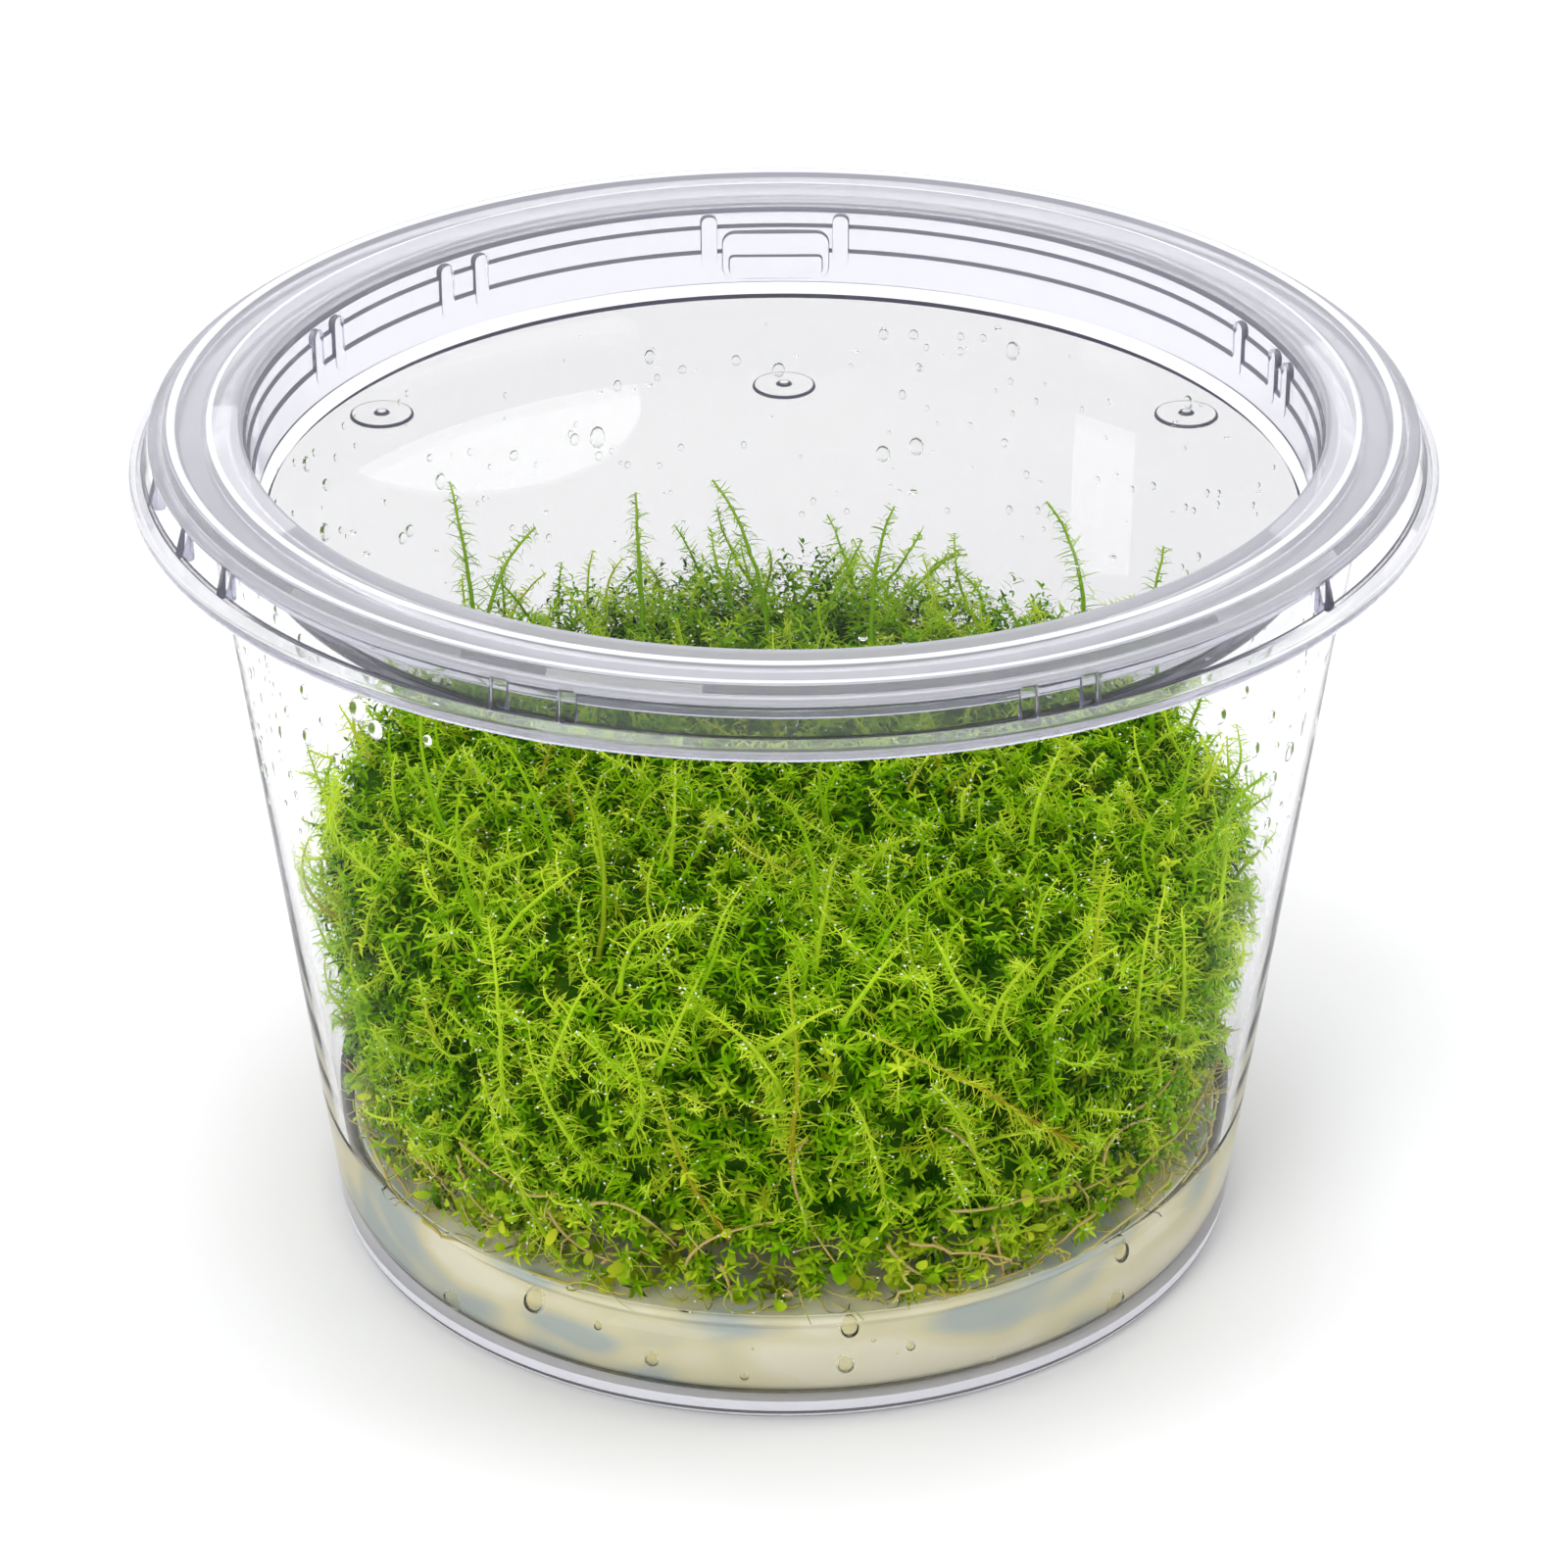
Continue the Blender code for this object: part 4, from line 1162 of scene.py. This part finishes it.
# Pixels of the photograph along the runners that show in front
RUNNERS_SEEN = (
    ((470, 1165), (498, 1190), (520, 1205)), ((530, 1215), (550, 1220), (572, 1216)),
    ((600, 1230), (640, 1232), (690, 1270)), ((700, 1290), (730, 1262), (800, 1245)),
    ((1160, 1130), (1185, 1112), (1200, 1085)), ((1125, 1190), (1140, 1155), (1180, 1140)),
    ((1060, 1225), (1112, 1210), (1160, 1180)), ((970, 1235), (1012, 1232), (1050, 1220)),
    ((1000, 1190), (985, 1165), (960, 1150)), ((825, 1160), (812, 1215), (865, 1305)),
    ((735, 1290), (745, 1315), (748, 1345)), ((1012, 1250), (1022, 1290), (1025, 1322)),
    ((905, 1270), (940, 1300), (985, 1305)), ((560, 1235), (590, 1270), (640, 1290)),
)


def around_foot(turn, height, out):
    """A point at the clump's foot, out from the clump's own radius there."""
    radius = CLUMP_FOOT_RADIUS + 0.10 * (height - GEL_TOP) + out
    return np.stack([radius * np.cos(turn), radius * np.sin(turn), height], axis=-1)


foot_moss = Foliage()
turns = rng.uniform(0, 2 * math.pi, size=FOOT_LEAVES)
heights = GEL_TOP + FOOT_BAND * rng.random(FOOT_LEAVES) ** 1.3
roots = around_foot(turns, heights, rng.uniform(-2.4, 0.2, size=FOOT_LEAVES) * MM)
outward = np.stack([np.cos(turns), np.sin(turns), np.zeros(FOOT_LEAVES)], axis=1)
directions = unit(0.5 * outward + rng.normal(size=(FOOT_LEAVES, 3)) * 0.8 + 0.15 * UP)
faces = unit(np.cross(np.cross(directions, outward + 0.3 * UP), directions))
lengths = rng.uniform(0.8, 1.5, size=FOOT_LEAVES) * MM
widths = lengths * rng.uniform(0.5, 0.8, size=FOOT_LEAVES)
curls = rng.normal(0.5, 0.5, size=FOOT_LEAVES)
shade = rng.normal(0.6, 0.22, size=FOOT_LEAVES)
age = np.clip(rng.normal(0.15, 0.2, size=FOOT_LEAVES), 0, 0.7)
add_leaves(foot_moss, ROUND_LEAF, roots, directions, faces, lengths, widths, curls, shade, age)
moss_pieces.append(foot_moss.make("moss_foot_leaves", leaf_green))

runners = Foliage()
for foot, bend, tip in RUNNERS_SEEN:
    path = bent_path(seen_on_clump(foot, 0), seen_on_clump(bend, 0.7 * MM), seen_on_clump(tip, 0.3 * MM))
    steps = len(path)
    tone = np.full(steps, rng.uniform(0.6, 1.0))
    age = np.full(steps, rng.uniform(0.5, 1.0))
    add_tube(runners, path, RUNNER_RADIUS * np.linspace(1.2, 0.7, steps), 5, tone, age)
for _ in range(RUNNERS):
    steps = 12
    turn = rng.uniform(0, 2 * math.pi)
    height = GEL_TOP + FOOT_BAND * rng.random() ** 1.5
    turns = turn + rng.normal(0, 0.02) * np.arange(steps)
    turns = turns + np.cumsum(rng.normal(0, 0.008, size=steps))
    heights = height + rng.uniform(-0.5, 0.3) * MM * np.arange(steps)
    heights = heights + np.cumsum(rng.normal(0, 0.2 * MM, size=steps))
    outs = rng.uniform(-0.8, 0.6) * MM + np.cumsum(rng.normal(0, 0.15 * MM, size=steps))
    path = around_foot(turns, np.maximum(heights, GEL_TOP + 0.05 * MM), outs)
    tone = np.full(steps, rng.uniform(0.4, 1.0))
    age = np.full(steps, rng.uniform(0.3, 1.0))
    add_tube(runners, path, RUNNER_RADIUS * np.linspace(1.1, 0.6, steps), 5, tone, age)
for _ in range(LOOSE_THREADS):
    steps = 7
    turn = rng.uniform(0, 2 * math.pi)
    height = GEL_TOP + 0.9 * FOOT_BAND * rng.random() ** 1.6
    middle = around_foot(turn, height, rng.uniform(-1.6, 0.8) * MM)
    reach = rng.uniform(0.9, 2.6) * MM
    first, second = unit(rng.normal(size=(2, 3)) * np.array([1.0, 1.0, 0.8]))
    sweep = np.linspace(0, rng.uniform(1.2, 3.4), steps)[:, None]
    path = middle + reach * (np.cos(sweep) * first + np.sin(sweep) * second - first)
    tone = np.full(steps, rng.uniform(0.2, 0.9))
    age = np.full(steps, rng.random() ** 2)
    add_tube(runners, path, THREAD_RADIUS * np.linspace(1.1, 0.5, steps), 4, tone, age)
runner_straw = moss_material("straw_runner", ("#7F9E14", "#B5C438", "#E4DE88"), "#D9BF74", 0.25, 0.3)
moss_pieces.append(runners.make("moss_runners", runner_straw))
for piece in moss_pieces:
    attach(piece, "root")
    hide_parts("moss_clump")

# The water. Condensation beads on the inside of the wall and under the lid as flat clear
# drops, and fine dew sits on the leaves. A dew drop's glint is finer than the picture
# shows, so each dew bead is drawn pale: a painted glint.
WALL_DROPS = 230
# The part of the far wall that has drops: degrees round the cup, and heights
DROPS_ROUND = (-28, 208)
DROPS_HEIGHTS = (39.0, 57.0)
# Pixels of the photograph where the larger drops show on the near wall, with their radii
DROPS_SEEN = (
    ((313, 705), 0.55), ((366, 724), 0.85), ((384, 744), 0.7), ((296, 725), 0.4), ((316, 751), 0.6),
    ((437, 755), 0.4), ((345, 775), 0.4), ((330, 735), 0.3), ((1268, 705), 0.5), ((1244, 730), 0.6),
    ((1295, 730), 0.45), ((1278, 764), 0.6), ((1267, 785), 0.45), ((1296, 793), 0.5), ((1290, 839), 0.45),
    ((1240, 700), 0.3), ((1300, 760), 0.3), ((300, 790), 0.35), ((322, 830), 0.3), ((333, 880), 0.3),
)
PANEL_DROPS = 70
DEW_DROPS = 4500
DEW_RADII = (0.07, 0.14)
# One leaf point in this many can hold dew, above this height or this near the wall
DEW_STRIDE = 7
DEW_HEIGHT = 37.0 * MM
DEW_DEPTH = 2.2 * MM


def add_drop(bm, place, normal, radius, tall=1.0):
    """A drop on a surface: a low dome, half sunk in it, drawn out downward by its weight."""
    made = bmesh.ops.create_icosphere(bm, subdivisions=2, radius=radius)
    bmesh.ops.scale(bm, vec=(1.0, tall, 0.5), verts=made["verts"])
    turn = normal.to_track_quat("Z", "Y").to_matrix()
    bmesh.ops.rotate(bm, verts=made["verts"], matrix=turn)
    bmesh.ops.translate(bm, verts=made["verts"], vec=place)


def finish_drops(name, bm, material):
    mesh = bpy.data.meshes.new(name)
    bm.to_mesh(mesh)
    bm.free()
    mesh.shade_smooth()
    mesh.materials.append(material)
    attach(new_object(name, mesh), "root")


# Still water is mirror-smooth and shows as dark and pale rims
water = clear_and_wet("condensed_water", "#FFFFFF", 0.0, 1.333, 1.0, "#FCFCFC")
wall_drops = bmesh.new()
for _ in range(WALL_DROPS):
    turn = rng.uniform(math.radians(DROPS_ROUND[0]), math.radians(DROPS_ROUND[1]))
    height = rng.uniform(*DROPS_HEIGHTS) * MM
    size = rng.uniform(0.12, 0.28) + 0.5 * rng.random() ** 6
    inward = Vector((-math.cos(turn), -math.sin(turn), 0.12))
    place = Vector((wall_inside(height) * math.cos(turn), wall_inside(height) * math.sin(turn), height))
    add_drop(wall_drops, place, inward, size * MM, rng.uniform(1.0, 1.5))
for pixel, size in DROPS_SEEN:
    place = seen_on_wall(pixel, 0.0)
    add_drop(wall_drops, place, Vector((-place.x, -place.y, 0)).normalized(), size * MM, 1.2)
finish_drops("wall_condensation", wall_drops, water)
panel_drops = bmesh.new()
for _ in range(PANEL_DROPS):
    turn = rng.uniform(0, 2 * math.pi)
    out = (PANEL_RADIUS - 1.5 * MM) * math.sqrt(rng.random())
    size = rng.uniform(0.08, 0.22) + 0.3 * rng.random() ** 6
    place = Vector((out * math.cos(turn), out * math.sin(turn), PANEL_TOP - LID_WALL))
    add_drop(panel_drops, place, Vector((0, 0, -1)), size * MM)
finish_drops("lid_condensation", panel_drops, water)

# Dew beads are near white: painted glints.
painted_glint_dew, tree, output = empty_material("dew_painted_glint")
bead = add_node(tree, "BsdfPrincipled", {
    "Base Color": linear("#FBFFEA"), "Roughness": 0.05, "IOR": 1.333,
})
tree.links.new(bead.outputs["BSDF"], output.inputs["Surface"])
leafy = [piece.data for piece in moss_pieces if piece != shaded_old_growth]
leaf_points = np.concatenate([mesh_points(mesh)[::DEW_STRIDE] for mesh in leafy])
radial = np.hypot(leaf_points[:, 0], leaf_points[:, 1])
outermost = (leaf_points[:, 2] > DEW_HEIGHT) | (radial > wall_inside(leaf_points[:, 2]) - DEW_DEPTH)
dewy = leaf_points[outermost]
dew = Foliage()
ball = bmesh.new()
bmesh.ops.create_uvsphere(ball, u_segments=4, v_segments=2, radius=1.0)
ball_points = np.array([v.co[:] for v in ball.verts])
ball_faces = np.array([[v.index for v in f.verts] for f in ball.faces])
ball.free()
bright = np.ones(len(ball_points))
green = np.zeros(len(ball_points))
for index in rng.choice(len(dewy), size=DEW_DROPS, replace=False):
    radius = rng.uniform(*DEW_RADII) * MM
    dew.add(dewy[index] + radius * ball_points, ball_faces, bright, green)
dew_piece = dew.make("dew_on_leaves", painted_glint_dew)
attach(dew_piece, "root")

# The stage: a plain pale table top under soft studio light.
HALF_FLOOR = 1.5
floor_mesh = bpy.data.meshes.new("table_top")
floor_corners = [(x * HALF_FLOOR, y * HALF_FLOOR, 0) for x, y in ((-1, -1), (1, -1), (1, 1), (-1, 1))]
floor_mesh.from_pydata(floor_corners, [], [(0, 1, 2, 3)])
floor = new_object("table_top", floor_mesh)
paper, tree, output = empty_material("white_paper_sweep")
sheet = add_node(tree, "BsdfPrincipled", {"Base Color": linear("#F4F4F4"), "Roughness": 0.9})
tree.links.new(sheet.outputs["BSDF"], output.inputs["Surface"])
floor_mesh.materials.append(paper)

# The backdrop is white, and the light that it throws on the part is dimmer than it looks
BACKDROP = 0.95
ROOM_FILL = 0.33
world = bpy.data.worlds.new("studio_room")
bpy.context.scene.world = world
world.use_nodes = True
tree = world.node_tree
rays = add_node(tree, "LightPath")
brightness = add_node(tree, "Math", {
    0: rays.outputs["Is Diffuse Ray"], 1: ROOM_FILL - BACKDROP, 2: BACKDROP,
}, operation="MULTIPLY_ADD")
room = tree.nodes["Background"]
room.inputs["Color"].default_value = linear("#FEFEFF")
tree.links.new(brightness.outputs["Value"], room.inputs["Strength"])


def add_softbox(name, place, target, size, radiance, shape="RECTANGLE"):
    """A studio softbox that faces its target, as bright as radiance."""
    lamp = bpy.data.lights.new(name, "AREA")
    lamp.shape = shape
    lamp.size, lamp.size_y = size
    lamp.energy = radiance * math.pi * size[0] * size[1]
    softbox = new_object(name, lamp)
    softbox.location = place
    softbox.rotation_euler = (Vector(target) - Vector(place)).to_track_quat("-Z", "Y").to_euler()


MIDDLE = (0.0, 0.0, 0.035)
add_softbox("overhead_softbox", (0.0, 0.1, 1.0), MIDDLE, (0.9, 0.7), 3.7)
add_softbox("key_softbox", (-0.45, -0.75, 0.75), MIDDLE, (0.45, 0.45), 7.6)
add_softbox("front_softbox", (0.25, -1.0, 0.35), MIDDLE, (0.9, 0.5), 1.9)
add_softbox("left_softbox", (-0.8, -0.15, 0.5), MIDDLE, (0.5, 0.5), 2.2)
add_softbox("right_softbox", (0.8, 0.1, 0.4), MIDDLE, (0.4, 0.4), 4.2)

# Two cards behind the cup show as a soft patch and a streak in the lid's panel
PANEL_MIDDLE = (0.0, 0.0, PANEL_TOP)
add_softbox("patch_card", (-0.074, 0.742, 0.392), PANEL_MIDDLE, (0.080, 0.040), 3.4, "ELLIPSE")
add_softbox("streak_card", (0.076, 0.733, 0.398), PANEL_MIDDLE, (0.0145, 0.060), 3.2)

scene = bpy.context.scene
scene.view_settings.view_transform = "Standard"
scene.cycles.use_light_tree = False
scene.cycles.max_bounces = 18
scene.cycles.transmission_bounces = 16
scene.cycles.transparent_max_bounces = 14
scene.cycles.diffuse_bounces = 2
scene.cycles.glossy_bounces = 12
scene.cycles.adaptive_threshold = 0.06
